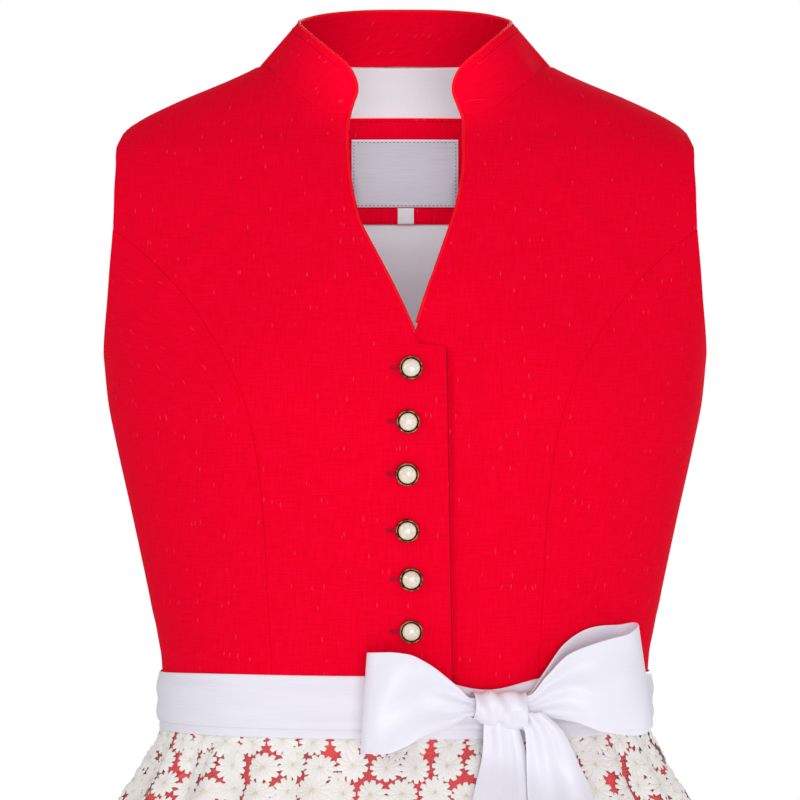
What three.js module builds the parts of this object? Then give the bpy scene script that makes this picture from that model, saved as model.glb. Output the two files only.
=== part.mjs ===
// A sleeveless dirndl as it is worn: a fitted linen bodice with a stand collar and a V opening,
// lapped and buttoned at the front, a gathered skirt, a gathered lace apron on a satin band,
// and a satin tie that is wound round the waist and knotted into a bow beside the front.
//
// Millimetres. +Z is up, the front faces -Y and the wearer's left is +X. The origin is midway
// between the shoulders, at the height of the middle of the shoulder seams.
//
// Every cloth piece is a thin wall. The bodice, skirt, apron, bands and labels are cut from one
// form, a stack of round-cornered oval sections, and lie a stated distance outside or inside it.
import * as THREE from "three";

// Driving sizes of the garment, for a 72 cm waist.
const CLOTH = 1.5;
const THIN_CLOTH = 1;
const SEAM_GAP = 0.3;
const LAYER_GAP = 0.7;
const LINING_GAP = 1.5;
const WAIST_SEAM_Z = -320;
const HEM_Z = -966;
const APRON_HEM_Z = -930;
const SHOULDER_POINT_Z = -17;
const NECK_SIDE_Z = 17.8;
const BACK_NECK_Z = 24;

// Sections of the form: height, half width, depth in front and behind, and corner roundness,
// where 2 is an ellipse and more is squarer.
const SECTIONS = [
  { z: 26, side: 70, front: 42, back: 61, round: 1.9 },
  { z: 18, side: 78, front: 47, back: 64, round: 1.9 },
  { z: 10, side: 94, front: 53, back: 67, round: 1.9 },
  { z: 0, side: 118, front: 59, back: 71, round: 1.9 },
  { z: -10, side: 139, front: 65, back: 75, round: 1.95 },
  { z: -17, side: 150, front: 69, back: 79, round: 2.0 },
  { z: -30, side: 165, front: 78, back: 85, round: 2.1 },
  { z: -53, side: 171.5, front: 91, back: 93, round: 2.2 },
  { z: -75, side: 169.5, front: 101, back: 98, round: 2.3 },
  { z: -105, side: 164.8, front: 111, back: 102, round: 2.4 },
  { z: -140, side: 160.6, front: 117, back: 102, round: 2.4 },
  { z: -161, side: 158.5, front: 118, back: 100, round: 2.4 },
  { z: -182, side: 154.5, front: 116, back: 97, round: 2.35 },
  { z: -225, side: 145, front: 110, back: 91, round: 2.3 },
  { z: -268, side: 136, front: 104, back: 87, round: 2.2 },
  { z: -300, side: 130, front: 100, back: 86, round: 2.2 },
  { z: -320, side: 129, front: 98, back: 87, round: 2.2 },
  { z: -337, side: 129.5, front: 99, back: 89, round: 2.2 },
  { z: -354, side: 134.5, front: 106, back: 98, round: 2.15 },
  { z: -375, side: 146, front: 118, back: 111, round: 2.1 },
  { z: -405, side: 163, front: 134, back: 129, round: 2.05 },
  { z: -450, side: 186, front: 153, back: 151, round: 2 },
  { z: -520, side: 210, front: 176, back: 177, round: 2 },
  { z: -620, side: 236, front: 201, back: 204, round: 2 },
  { z: -740, side: 261, front: 226, back: 230, round: 2 },
  { z: -860, side: 281, front: 247, back: 251, round: 2 },
  { z: -966, side: 296, front: 262, back: 266, round: 2 },
];

// Fullness that the princess seams give the front, where they cross the fullest line.
const FULLNESS = { depth: 11, x: 80, z: -152, width: 44, height: 44 };

// Folds of the skirt: how many there are, and how far they swing in and out at each height.
const FOLD_COUNT = 22;
const FOLD_DEPTHS = [
  { z: -337, depth: 0 },
  { z: -354, depth: 3 },
  { z: -375, depth: 6 },
  { z: -430, depth: 11 },
  { z: -520, depth: 16 },
  { z: -700, depth: 20 },
  { z: -966, depth: 23 },
];
const FOLD_COLUMNS = 110;
const SKIRT_ROWS = [-320.9, -337, -354, -375, -420, -520, -720, HEM_Z];

// The armhole is an oval seen from the side.
const ARMHOLE = { top: SHOULDER_POINT_Z, bottom: -140, front: 50, back: 46 };

// Seams and edges on the front and back, as distances from the centre at each height.
const FRONT_PRINCESS_TOP_Z = -72.6;
const FRONT_PRINCESS = [
  { z: -320, x: 68 },
  { z: -268, x: 71 },
  { z: -225, x: 73 },
  { z: -193, x: 76 },
  { z: -171, x: 80 },
  { z: -150, x: 87 },
  { z: -127, x: 100 },
  { z: -106, x: 115 },
  { z: -84, x: 137 },
  { z: -70, x: 155 },
];
const BACK_PRINCESS_TOP_Z = -79.8;
const BACK_PRINCESS = [
  { z: -320, x: 64 },
  { z: -250, x: 71 },
  { z: -205, x: 80 },
  { z: -170, x: 90 },
  { z: -140, x: 102 },
  { z: -115, x: 118 },
  { z: -95, x: 137 },
  { z: -78, x: 157 },
];

// The closing edges. The wearer's right front laps over the left one and ends at the lap edge.
const LAP_TOP_Z = -133.4;
const LAP_EDGE = [
  { z: -320, x: 24.5 },
  { z: LAP_TOP_Z, x: 21 },
];
const RIGHT_V_EDGE = [
  { z: -132.2, x: 6 },
  { z: -130, x: 4.6 },
  { z: -109.5, x: -5.2 },
  { z: -88.6, x: -15 },
  { z: -67.6, x: -24.4 },
  { z: -46.2, x: -29.2 },
  { z: -24.5, x: -31 },
  { z: -12, x: -30 },
];
const LEFT_V_EDGE = [
  { z: -320, x: -12 },
  { z: -150, x: -10 },
  { z: -136, x: 0 },
  { z: -125, x: 5.6 },
  { z: -109.5, x: 10.3 },
  { z: -91, x: 17 },
  { z: -72.8, x: 23.4 },
  { z: -54, x: 28.7 },
  { z: -35, x: 31 },
  { z: -12, x: 31 },
];
const UNDERLAP = { inset: CLOTH + 0.8, from: 29, to: 42 };

// The seam that joins the collar: the panels' neck edge, as distance from the centre.
const NECK_SEAM = [
  { z: -12, x: 31 },
  { z: -10.5, x: 43 },
  { z: -5, x: 50 },
  { z: 2, x: 58 },
  { z: 10, x: 67 },
  { z: NECK_SIDE_Z, x: 76 },
];

// The collar, from the centre back to its front end: a point on the seam and one on the top.
// Where seamY is left out, the point lies on the form.
const COLLAR = [
  { s: 0, seamX: 0, seamY: 60.5, seamZ: 24, topX: 0, topY: 52, topZ: 51.5 },
  { s: 0.18, seamX: 29, seamY: 55, seamZ: 23.3, topX: 24, topY: 47.5, topZ: 50.8 },
  { s: 0.36, seamX: 54, seamY: 40, seamZ: 21.5, topX: 43, topY: 33, topZ: 48 },
  { s: 0.52, seamX: 71, seamY: 17, seamZ: 19.2, topX: 55, topY: 12, topZ: 43.6 },
  { s: 0.62, seamX: 75, seamY: -4, seamZ: 17, topX: 57, topY: -7, topZ: 40 },
  { s: 0.74, seamX: 66.5, seamZ: 9.5, topX: 51, topY: -27, topZ: 33 },
  { s: 0.86, seamX: 54, seamZ: -1.5, topX: 41, topY: -41, topZ: 24 },
  { s: 0.94, seamX: 43, seamZ: -9.5, topX: 31.5, topY: -49, topZ: 15.5 },
  { s: 0.98, seamX: 35.5, seamZ: -11, topX: 27, topY: -55, topZ: 8 },
  { s: 1, seamX: 31, seamZ: -11.6, topX: 26, topY: -59, topZ: 1 },
];
const COLLAR_THICKNESS = 2;
const COLLAR_SEAM_SHARE = 0.05;

// White lining of the back, and the strip, label and tag that are sewn to it.
const PATCH = { halfWidth: 72, top: -4, bottom: -62.4 };
const LABEL = { halfWidth: 30, top: -14, bottom: -52.4 };
const TAG = { left: 5, right: -4, top: -52.8, bottom: -61.8 };

// Satin at the waist.
const BAND = { rows: [-336.6, -328.5, -320.9, -310], halfColumns: 28 };
const WAIST_COLUMNS = 72;
const TIE_ROWS = [-332, -320.9, -304.5];
const APRON_TOP_Z = -337;
const APRON_ROWS = [APRON_TOP_Z, -354, -375, -420, -520, -720, APRON_HEM_Z];
const APRON_HALF_COLUMNS = 40;
const GATHER = { count: 55, depth: 1.6, fadeBelow: 70 };

// The bow. The knot is a turn of the tie, drawn tight round the roots of the loops.
const BOW = { x: 45.6, z: -319 };
const KNOT = { halfWidth: 14, halfDepth: 8, halfHeight: 9, waist: 0.95 };
// A loop's outline from the knot to its end: reach is a share of the loop's length, which is longer
// by the flare along its lower edge. Its back layer stands higher than the front by the back lift.
const LEFT_LOOP = {
  side: -1, root: 2, length: 66, flare: 3.5, hollow: 9, bend: 6, backLift: -2,
  outline: [
    { reach: 0, top: -312.6, bottom: -325.4 },
    { reach: 0.2, top: -314.4, bottom: -323.8 },
    { reach: 0.32, top: -308, bottom: -328.5 },
    { reach: 0.56, top: -296, bottom: -333.5 },
    { reach: 0.72, top: -291, bottom: -339 },
    { reach: 0.87, top: -289.8, bottom: -342 },
    { reach: 1, top: -289.8, bottom: -341.6 },
  ],
};
const RIGHT_LOOP = {
  side: 1, root: 2, length: 75, flare: 8, hollow: 11, bend: 10, backLift: 9,
  outline: [
    { reach: 0, top: -312.6, bottom: -325.4 },
    { reach: 0.17, top: -313.6, bottom: -324.6 },
    { reach: 0.3, top: -303.5, bottom: -325.5 },
    { reach: 0.46, top: -292.5, bottom: -328 },
    { reach: 0.62, top: -288.5, bottom: -333.4 },
    { reach: 0.78, top: -286, bottom: -336.5 },
    { reach: 0.89, top: -285, bottom: -337.5 },
    { reach: 1, top: -282, bottom: -334.5 },
  ],
};
const LOOP_ROOT = 1.8;
// The tails: centre and half width at each height. They lie on the folds of the apron.
const LEFT_TAIL = [
  { z: -328.5, x: 45, half: 6 },
  { z: -345, x: 47.6, half: 9 },
  { z: -367, x: 45, half: 11 },
  { z: -450, x: 42, half: 15 },
  { z: -600, x: 38, half: 19 },
  { z: -772, x: 33, half: 20 },
];
const RIGHT_TAIL = [
  { z: -328.5, x: 57.5, half: 5 },
  { z: -345, x: 72, half: 11 },
  { z: -367, x: 80, half: 17 },
  { z: -450, x: 89, half: 19 },
  { z: -600, x: 96, half: 20 },
  { z: -790, x: 102, half: 20 },
];
const TAIL_CLEAR = 3.9;
const TAIL_CUT_SLANT = 14;

// Pearl buttons in milled brass rims, and where they sit on the lap.
const BUTTON = { rimRadius: 6.3, seatRadius: 5.1, rimHeight: 2.4, pearlHeight: 3.6, sides: 10 };
const BUTTONS = [
  { x: 3.1, z: -144.6 },
  { x: 1.6, z: -171.8 },
  { x: 1.1, z: -198.9 },
  { x: 1.1, z: -228 },
  { x: 3.1, z: -253.2 },
  { x: 3.1, z: -280.3 },
];

const PIPING_RADIUS = 0.8;

// Reads a column of a table at a height, along a curve with no overshoot.
function reader(table, key, column) {
  const rows = [...table].sort((a, b) => a[key] - b[key]);
  const at = rows.map((row) => row[key]);
  const value = rows.map((row) => row[column]);
  const slope = value.slice(1).map((v, i) => (v - value[i]) / (at[i + 1] - at[i]));
  const tangent = value.map((_, i) => {
    if (i === 0) return slope[0];
    if (i === value.length - 1) return slope[i - 1];
    const product = slope[i - 1] * slope[i];
    return product <= 0 ? 0 : (2 * product) / (slope[i - 1] + slope[i]);
  });
  return (x) => {
    if (x <= at[0]) return value[0];
    if (x >= at[at.length - 1]) return value[value.length - 1];
    const i = at.findIndex((limit) => limit >= x) - 1;
    const width = at[i + 1] - at[i];
    const t = (x - at[i]) / width;
    const rise = t * t * (3 - 2 * t);
    const lead = t * (1 - t) * (1 - t) * width * tangent[i];
    const trail = t * t * (t - 1) * width * tangent[i + 1];
    return value[i] + (value[i + 1] - value[i]) * rise + lead + trail;
  };
}

const smooth = THREE.MathUtils.smoothstep;
const sideAt = reader(SECTIONS, "z", "side");
const frontAt = reader(SECTIONS, "z", "front");
const backAt = reader(SECTIONS, "z", "back");
const roundAt = reader(SECTIONS, "z", "round");
const foldDepthAt = reader(FOLD_DEPTHS, "z", "depth");

// Uneven folds: a wave round the waist whose spacing and height drift.
function foldWave(angle) {
  const drift = 0.9 * Math.sin(3 * angle + 1.1) + 0.6 * Math.sin(5 * angle + 2.3);
  const height = 0.8 + 0.2 * Math.sin(4 * angle + 0.7);
  return height * Math.cos(FOLD_COUNT * angle + drift);
}

// A point of the form before it is folded. angle is 0 at the centre front and a quarter turn at
// the wearer's left side.
function bareForm(angle, z) {
  const sine = Math.sin(angle);
  const cosine = Math.cos(angle);
  const power = 2 / roundAt(z);
  const depth = cosine > 0 ? -frontAt(z) : backAt(z);
  const x = sideAt(z) * Math.sign(sine) * Math.abs(sine) ** power;
  let y = depth * Math.abs(cosine) ** power;
  if (cosine > 0) {
    const across = (Math.abs(x) - FULLNESS.x) / FULLNESS.width;
    const up = (z - FULLNESS.z) / FULLNESS.height;
    y -= FULLNESS.depth * Math.exp(-across * across - up * up) * smooth(cosine, 0, 0.3);
  }
  return new THREE.Vector3(x, y, z);
}

// A point of the form, with the skirt's folds below the waist seam.
function form(angle, z) {
  const point = bareForm(angle, z);
  if (z < WAIST_SEAM_Z) {
    const swing = foldDepthAt(z) * foldWave(angle);
    point.x += swing * Math.sin(angle);
    point.y -= swing * Math.cos(angle);
  }
  return point;
}

// The form's angle at a distance from the centre, in front and behind.
function angleAtX(x, z) {
  const share = Math.min(1, Math.abs(x) / sideAt(z));
  return Math.sign(x) * Math.asin(share ** (roundAt(z) / 2));
}
const angleBehind = (x, z) => Math.PI - angleAtX(x, z);

// The form's angle on the wearer's left where its depth is y; minus is in front.
function angleAtY(y, z) {
  const depth = y < 0 ? frontAt(z) : backAt(z);
  const angle = Math.acos(Math.min(1, Math.abs(y) / depth) ** (roundAt(z) / 2));
  return y < 0 ? angle : Math.PI - angle;
}

// How far the armhole reaches from the shoulder line at a height.
function armholeReach(z, reach) {
  const middle = (ARMHOLE.top + ARMHOLE.bottom) / 2;
  const half = (ARMHOLE.top - ARMHOLE.bottom) / 2;
  return reach * Math.sqrt(Math.max(0, 1 - ((z - middle) / half) ** 2));
}

// A closed wall from a surface: surface(s, t) is its middle, and inner and outer are how far
// its two faces lie from that along the surface's normal. ring joins the last s to the first.
function wall(surface, across, up, inner, outer, { ring = false, flip = false } = {}) {
  const step = 1e-3;
  const positions = [];
  const offsets = [inner, outer].map((o) => (typeof o === "number" ? () => o : o));
  for (const t of up) {
    for (const s of across) {
      const point = surface(s, t);
      const along = surface(s + step, t).sub(surface(s - step, t));
      const rise = surface(s, t + step).sub(surface(s, t - step));
      const normal = along.cross(rise).normalize().multiplyScalar(flip ? -1 : 1);
      for (const offset of offsets) {
        positions.push(...point.clone().addScaledVector(normal, offset(s, t)));
      }
    }
  }
  const columns = across.length;
  const rows = up.length;
  const index = [];
  const vertex = (i, j, face) => 2 * (j * columns + (i % columns)) + face;
  const quad = (a, b, c, d) => index.push(a, b, c, a, c, d);
  const lastColumn = ring ? columns : columns - 1;
  for (let j = 0; j < rows - 1; j += 1) {
    for (let i = 0; i < lastColumn; i += 1) {
      quad(vertex(i, j, 1), vertex(i + 1, j, 1), vertex(i + 1, j + 1, 1), vertex(i, j + 1, 1));
      quad(vertex(i, j, 0), vertex(i, j + 1, 0), vertex(i + 1, j + 1, 0), vertex(i + 1, j, 0));
    }
    if (!ring) {
      const end = columns - 1;
      quad(vertex(0, j, 0), vertex(0, j, 1), vertex(0, j + 1, 1), vertex(0, j + 1, 0));
      quad(vertex(end, j, 1), vertex(end, j, 0), vertex(end, j + 1, 0), vertex(end, j + 1, 1));
    }
  }
  const top = rows - 1;
  for (let i = 0; i < lastColumn; i += 1) {
    quad(vertex(i, 0, 0), vertex(i + 1, 0, 0), vertex(i + 1, 0, 1), vertex(i, 0, 1));
    quad(vertex(i, top, 1), vertex(i + 1, top, 1), vertex(i + 1, top, 0), vertex(i, top, 0));
  }
  return facingOut(positions, index);
}

// A geometry whose triangles are turned round if they enclose a negative volume.
function facingOut(positions, index) {
  const corner = (i) => new THREE.Vector3().fromArray(positions, 3 * index[i]);
  let volume = 0;
  for (let i = 0; i < index.length; i += 3) {
    volume += corner(i).dot(corner(i + 1).cross(corner(i + 2)));
  }
  if (volume < 0) {
    for (let i = 0; i < index.length; i += 3) {
      [index[i + 1], index[i + 2]] = [index[i + 2], index[i + 1]];
    }
  }
  return new THREE.BufferGeometry()
    .setAttribute("position", new THREE.Float32BufferAttribute(positions, 3))
    .setIndex(index);
}

const steps = (count, from = 0, to = 1) =>
  Array.from({ length: count + 1 }, (_, i) => from + ((to - from) * i) / count);

// A piece of the form between two edges that give its angle at each height.
function panel({ rows, columns, left, right, inner = -CLOTH / 2, outer = CLOTH / 2 }) {
  const surface = (s, z) => form(left(z) + (right(z) - left(z)) * s, z);
  return wall(surface, steps(columns), rows, inner, outer);
}

const linen = new THREE.MeshStandardMaterial({ color: 0xd8081f, roughness: 0.85 });
const lining = new THREE.MeshStandardMaterial({ color: 0xe9e4ea, roughness: 0.6 });
const labelSatin = new THREE.MeshStandardMaterial({ color: 0xb9b6c2, roughness: 0.4 });
const satin = new THREE.MeshStandardMaterial({ color: 0xf1f0f8, roughness: 0.35 });
const lace = new THREE.MeshStandardMaterial({ color: 0xf2eadf, roughness: 0.9 });
const brass = new THREE.MeshStandardMaterial({ color: 0x8d6a3c, roughness: 0.4, metalness: 1 });
const pearl = new THREE.MeshStandardMaterial({ color: 0xf3e6d6, roughness: 0.2 });

const dirndl = new THREE.Group();

function add(name, geometry, material, parent = dirndl) {
  const mesh = new THREE.Mesh(geometry, material);
  mesh.name = name;
  parent.add(mesh);
  return mesh;
}

const frontPrincess = reader(FRONT_PRINCESS, "z", "x");
const backPrincess = reader(BACK_PRINCESS, "z", "x");
const lapEdge = reader(LAP_EDGE, "z", "x");
const rightVEdge = reader(RIGHT_V_EDGE, "z", "x");
const leftVEdge = reader(LEFT_V_EDGE, "z", "x");
const neckSeam = reader(NECK_SEAM, "z", "x");
const halfGap = SEAM_GAP / 2;

// The outer edge of a centre front, on the wearer's left: princess seam, armhole, shoulder seam.
function frontOuterEdge(z) {
  const armhole = angleAtY(-Math.max(halfGap, armholeReach(z, ARMHOLE.front)), z);
  return Math.min(angleAtX(frontPrincess(z) - halfGap, z), z < ARMHOLE.bottom ? Math.PI : armhole);
}

// The outer edge of the back: princess seam, armhole, shoulder seam, back neck.
function backOuterEdge(z) {
  if (z >= NECK_SIDE_Z) return angleBehind(backNeckHalfWidth(z), z);
  const armhole = angleAtY(Math.max(halfGap, armholeReach(z, ARMHOLE.back)), z);
  return Math.max(angleBehind(backPrincess(z) - halfGap, z), z < ARMHOLE.bottom ? 0 : armhole);
}

function backNeckHalfWidth(z) {
  const rise = (z - NECK_SIDE_Z) / (BACK_NECK_Z - NECK_SIDE_Z);
  return 76 * Math.sqrt(Math.max(0, 1 - rise * rise));
}

// The side seam, and the armhole above it. reach is the armhole's, and sign is -1 in front.
function sideEdge(z, reach, sign) {
  return angleAtY(sign * Math.max(halfGap, armholeReach(z, reach)), z);
}

// Centre fronts. The wearer's right one laps over the left one, which is set in below the lap.
const SIDE_FRONT_ROWS = [
  WAIST_SEAM_Z, -300, -260, -225, -193, -171, -150, -140, -138.5, -134.6, LAP_TOP_Z, -132.2, -120,
  -106, -90, FRONT_PRINCESS_TOP_Z,
];
const V_ROWS = [-62, -52, -43, -35, -24];
const FRONT_ROWS = [
  ...SIDE_FRONT_ROWS, ...V_ROWS, SHOULDER_POINT_Z, -12, -10.5, -5, 2, 10, 16.6,
];
add("front_right", panel({
  rows: FRONT_ROWS,
  columns: 7,
  left: (z) => -frontOuterEdge(z),
  right: (z) => {
    if (z <= LAP_TOP_Z) return angleAtX(lapEdge(z), z);
    if (z <= -12) return angleAtX(rightVEdge(z), z);
    return angleAtX(-neckSeam(z) - 0.4, z);
  },
}), linen);

function underlap(s, z, x) {
  const share = 1 - smooth(x, UNDERLAP.from, UNDERLAP.to);
  return -UNDERLAP.inset * share * (1 - smooth(z, -118, -104));
}
const leftFrontInner = (z) => (z <= -12 ? angleAtX(leftVEdge(z), z) : angleAtX(neckSeam(z) + 0.4, z));
const leftFrontX = (s, z) => form(leftFrontInner(z) + (frontOuterEdge(z) - leftFrontInner(z)) * s, z).x;
const leftFrontColumns = [0, 0.17, 0.34, 0.5, 0.62, 0.75, 0.88, 1];
add("front_left", wall(
  (s, z) => form(leftFrontInner(z) + (frontOuterEdge(z) - leftFrontInner(z)) * s, z),
  leftFrontColumns,
  FRONT_ROWS,
  (s, z) => -CLOTH / 2 + underlap(s, z, leftFrontX(s, z)),
  (s, z) => CLOTH / 2 + underlap(s, z, leftFrontX(s, z)),
), linen);

// Side panels between the princess seams and the side seams, up to the armholes.
const SIDE_BACK_ROWS = [
  WAIST_SEAM_Z, -300, -260, -220, -182, -155, -140, -138.5, -134, -126, -114, -102, -91,
  BACK_PRINCESS_TOP_Z,
];
const SIDES = [{ name: "left", sign: 1 }, { name: "right", sign: -1 }];
for (const { name, sign } of SIDES) {
  add(`side_front_${name}`, panel({
    rows: SIDE_FRONT_ROWS,
    columns: 5,
    left: (z) => sign * angleAtX(frontPrincess(z) + halfGap, z),
    right: (z) => sign * sideEdge(z, ARMHOLE.front, -1),
  }), linen);
  add(`side_back_${name}`, panel({
    rows: SIDE_BACK_ROWS,
    columns: 5,
    left: (z) => sign * sideEdge(z, ARMHOLE.back, 1),
    right: (z) => sign * angleBehind(backPrincess(z) + halfGap, z),
  }), linen);
}

// The back, in one piece across the centre.
const BACK_ROWS = [
  ...SIDE_BACK_ROWS, -62, -42, -29, SHOULDER_POINT_Z, -4, 6, NECK_SIDE_Z, 20, 22, 23.3,
];
const acrossBack = (edge) => ({
  left: (z) => edge(z),
  right: (z) => 2 * Math.PI - edge(z),
});
add("back", panel({ rows: BACK_ROWS, columns: 16, ...acrossBack(backOuterEdge) }), linen);

// The lining covers the back and its side panels in one.
const liningOuter = -CLOTH / 2 - LINING_GAP;
const liningInner = liningOuter - THIN_CLOTH;
const LINING_ROWS = [
  -318, -300, -260, -220, -182, -155, -140, -138.5, -134, -126, -109, BACK_PRINCESS_TOP_Z, -62, -42, -29,
  SHOULDER_POINT_Z, -4, 6, 15.5,
];
add("lining_back", panel({
  rows: LINING_ROWS,
  columns: 20,
  ...acrossBack((z) => angleAtY(Math.max(2.6, armholeReach(z, ARMHOLE.back) + 0.6), z)),
  inner: liningInner,
  outer: liningOuter,
}), lining);

// Strip, label and tag, each on the one before.
function sewnInside({ left, right, top, bottom, columns, rows, below }) {
  const outer = below - LAYER_GAP;
  return panel({
    rows: steps(rows, bottom, top),
    columns,
    left: (z) => angleBehind(left, z),
    right: (z) => angleBehind(right, z),
    inner: outer - THIN_CLOTH,
    outer,
  });
}
const onStrip = liningInner - LAYER_GAP - THIN_CLOTH;
add("label_strip", sewnInside({
  ...PATCH, left: PATCH.halfWidth, right: -PATCH.halfWidth, columns: 10, rows: 5, below: liningInner,
}), linen);
add("label", sewnInside({
  ...LABEL, left: LABEL.halfWidth, right: -LABEL.halfWidth, columns: 6, rows: 3, below: onStrip,
}), labelSatin);
add("size_tag", sewnInside({ ...TAG, columns: 1, rows: 1, below: onStrip }), labelSatin);

// The stand collar leans in from the neck seam and is round at its front ends.
const collarSeam = ["seamX", "seamZ"].map((column) => reader(COLLAR, "s", column));
const collarTop = ["topX", "topY", "topZ"].map((column) => reader(COLLAR, "s", column));
const backSeamY = reader(COLLAR.filter((row) => row.seamY !== undefined), "s", "seamY");

function collarSeamPoint(s) {
  const share = Math.abs(s);
  const x = collarSeam[0](share);
  const z = collarSeam[1](share);
  const onForm = form(angleAtX(x, z), z).y;
  const y = THREE.MathUtils.lerp(backSeamY(share), onForm, smooth(share, 0.6, 0.74));
  return new THREE.Vector3(Math.sign(s) * x, y, z);
}

function collarSurface(s, t) {
  const share = Math.abs(s);
  const top = new THREE.Vector3(...collarTop.map((read) => read(share)));
  top.x *= Math.sign(s);
  return collarSeamPoint(s).lerp(top, t);
}
const collarColumns = COLLAR.flatMap(({ s }) => (s === 0 ? [0] : [s, -s])).sort((a, b) => a - b);
add("collar", wall(
  collarSurface,
  collarColumns.flatMap((s, i) => (i ? [(s + collarColumns[i - 1]) / 2, s] : [s])),
  steps(3, COLLAR_SEAM_SHARE, 1),
  -COLLAR_THICKNESS / 2,
  COLLAR_THICKNESS / 2,
), linen);

// Piping round the neck: up one side of the V, over the collar and down the other side.
function edgePoint(edge, z) {
  const sign = Math.sign(edge(-60));
  return form(angleAtX(edge(z) - sign * (PIPING_RADIUS + 0.5), z), z);
}
function collarEdgePoint(s) {
  const top = collarSurface(s, 1);
  const along = collarSurface(s + 0.005, 1).sub(collarSurface(s - 0.005, 1)).normalize();
  const up = top.clone().sub(collarSurface(s, 0.9));
  up.addScaledVector(along, -up.dot(along)).normalize();
  return top.addScaledVector(up, PIPING_RADIUS + 0.75);
}
function collarEndPoint(sign) {
  const end = collarSurface(sign, 0.45);
  end.x -= sign * (PIPING_RADIUS + 0.75);
  return end;
}
const V_PIPING_Z = [-14, ...V_ROWS.slice().reverse(), FRONT_PRINCESS_TOP_Z, -90, -106];
const COLLAR_PIPING = [0.18, 0.36, 0.52, 0.62, 0.74, 0.86, 0.94, 0.98, 1];
const pipingRoute = [
  edgePoint(rightVEdge, -126),
  ...V_PIPING_Z.slice().reverse().map((z) => edgePoint(rightVEdge, z)),
  collarEndPoint(-1),
  ...COLLAR_PIPING.slice().reverse().map((s) => collarEdgePoint(-s)),
  ...[0, ...COLLAR_PIPING].map((s) => collarEdgePoint(s)),
  collarEndPoint(1),
  ...V_PIPING_Z.map((z) => edgePoint(leftVEdge, z)),
];
const pipingSection = new THREE.Shape(
  steps(4, 0, (4 / 5) * 2 * Math.PI).map(
    (turn) => new THREE.Vector2(Math.cos(turn), Math.sin(turn)).multiplyScalar(PIPING_RADIUS),
  ),
);
add("neck_piping", new THREE.ExtrudeGeometry(pipingSection, {
  steps: 66,
  extrudePath: new THREE.CatmullRomCurve3(pipingRoute),
}), linen);

// The skirt, gathered into the waist seam, in a front and a back joined at the sides.
const skirtColumn = (2 * Math.PI) / FOLD_COLUMNS;
const sideColumn = Math.round(FOLD_COLUMNS / 4);
const frontColumns = steps(2 * sideColumn, -sideColumn * skirtColumn, sideColumn * skirtColumn);
const backCount = FOLD_COLUMNS - 2 * sideColumn;
const backColumns = steps(backCount, sideColumn * skirtColumn, (FOLD_COLUMNS - sideColumn) * skirtColumn);
const sideSeamHalf = 0.0012;

function seamEnds(columns) {
  const ends = [...columns];
  ends[0] += sideSeamHalf;
  ends[ends.length - 1] -= sideSeamHalf;
  return ends;
}
add("skirt_front", wall(form, seamEnds(frontColumns), SKIRT_ROWS, -CLOTH / 2, CLOTH / 2), linen);
add("skirt_back", wall(form, seamEnds(backColumns), SKIRT_ROWS, -CLOTH / 2, CLOTH / 2), linen);

// The apron lies on the skirt, fold for fold, with finer gathers of its own below the band.
const apronInner = CLOTH / 2 + SEAM_GAP;
function gather(angle, z) {
  const fade = 1 - smooth(APRON_TOP_Z - z, 0, GATHER.fadeBelow);
  return GATHER.depth * fade * (0.5 + 0.5 * Math.cos(GATHER.count * angle)) * smooth(APRON_TOP_Z - z, 0, 12);
}
add("apron", wall(
  form,
  steps(2 * APRON_HALF_COLUMNS, -APRON_HALF_COLUMNS * skirtColumn, APRON_HALF_COLUMNS * skirtColumn),
  APRON_ROWS,
  (angle, z) => apronInner + gather(angle, z),
  (angle, z) => apronInner + THIN_CLOTH + gather(angle, z),
), lace);

// The apron's band stops short of the centre back. The tie goes all the way round, over it.
const bandInner = CLOTH / 2 + LAYER_GAP;
const waistColumn = (2 * Math.PI) / WAIST_COLUMNS;
const bandEnd = BAND.halfColumns * waistColumn;
const tieInner = bandInner + THIN_CLOTH + SEAM_GAP;
add("apron_band", wall(
  form, steps(2 * BAND.halfColumns, -bandEnd, bandEnd), BAND.rows, bandInner, bandInner + THIN_CLOTH,
), satin);
add("tie", wall(
  form, steps(WAIST_COLUMNS - 1, -Math.PI, Math.PI - waistColumn), TIE_ROWS,
  tieInner, tieInner + THIN_CLOTH, { ring: true },
), satin);

// A frame on the form at a distance from the centre and a height: where it is, and outward.
function frameOn(x, z) {
  const angle = angleAtX(x, z);
  const along = form(angle + 0.01, z).sub(form(angle - 0.01, z));
  const rise = form(angle, z + 0.5).sub(form(angle, z - 0.5));
  return { at: form(angle, z), outward: along.cross(rise).normalize() };
}

// The bow's own frame: x along the waist, y inward and z up.
const bow = new THREE.Group();
const bowFrame = frameOn(BOW.x, BOW.z);
const knotHeight = tieInner + THIN_CLOTH + SEAM_GAP + KNOT.halfDepth;
bow.rotation.z = Math.atan2(bowFrame.outward.x, -bowFrame.outward.y);
bow.position.set(Math.sin(bow.rotation.z), -Math.cos(bow.rotation.z), 0);
bow.position.multiplyScalar(knotHeight).add(bowFrame.at);
dirndl.add(bow);

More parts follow.
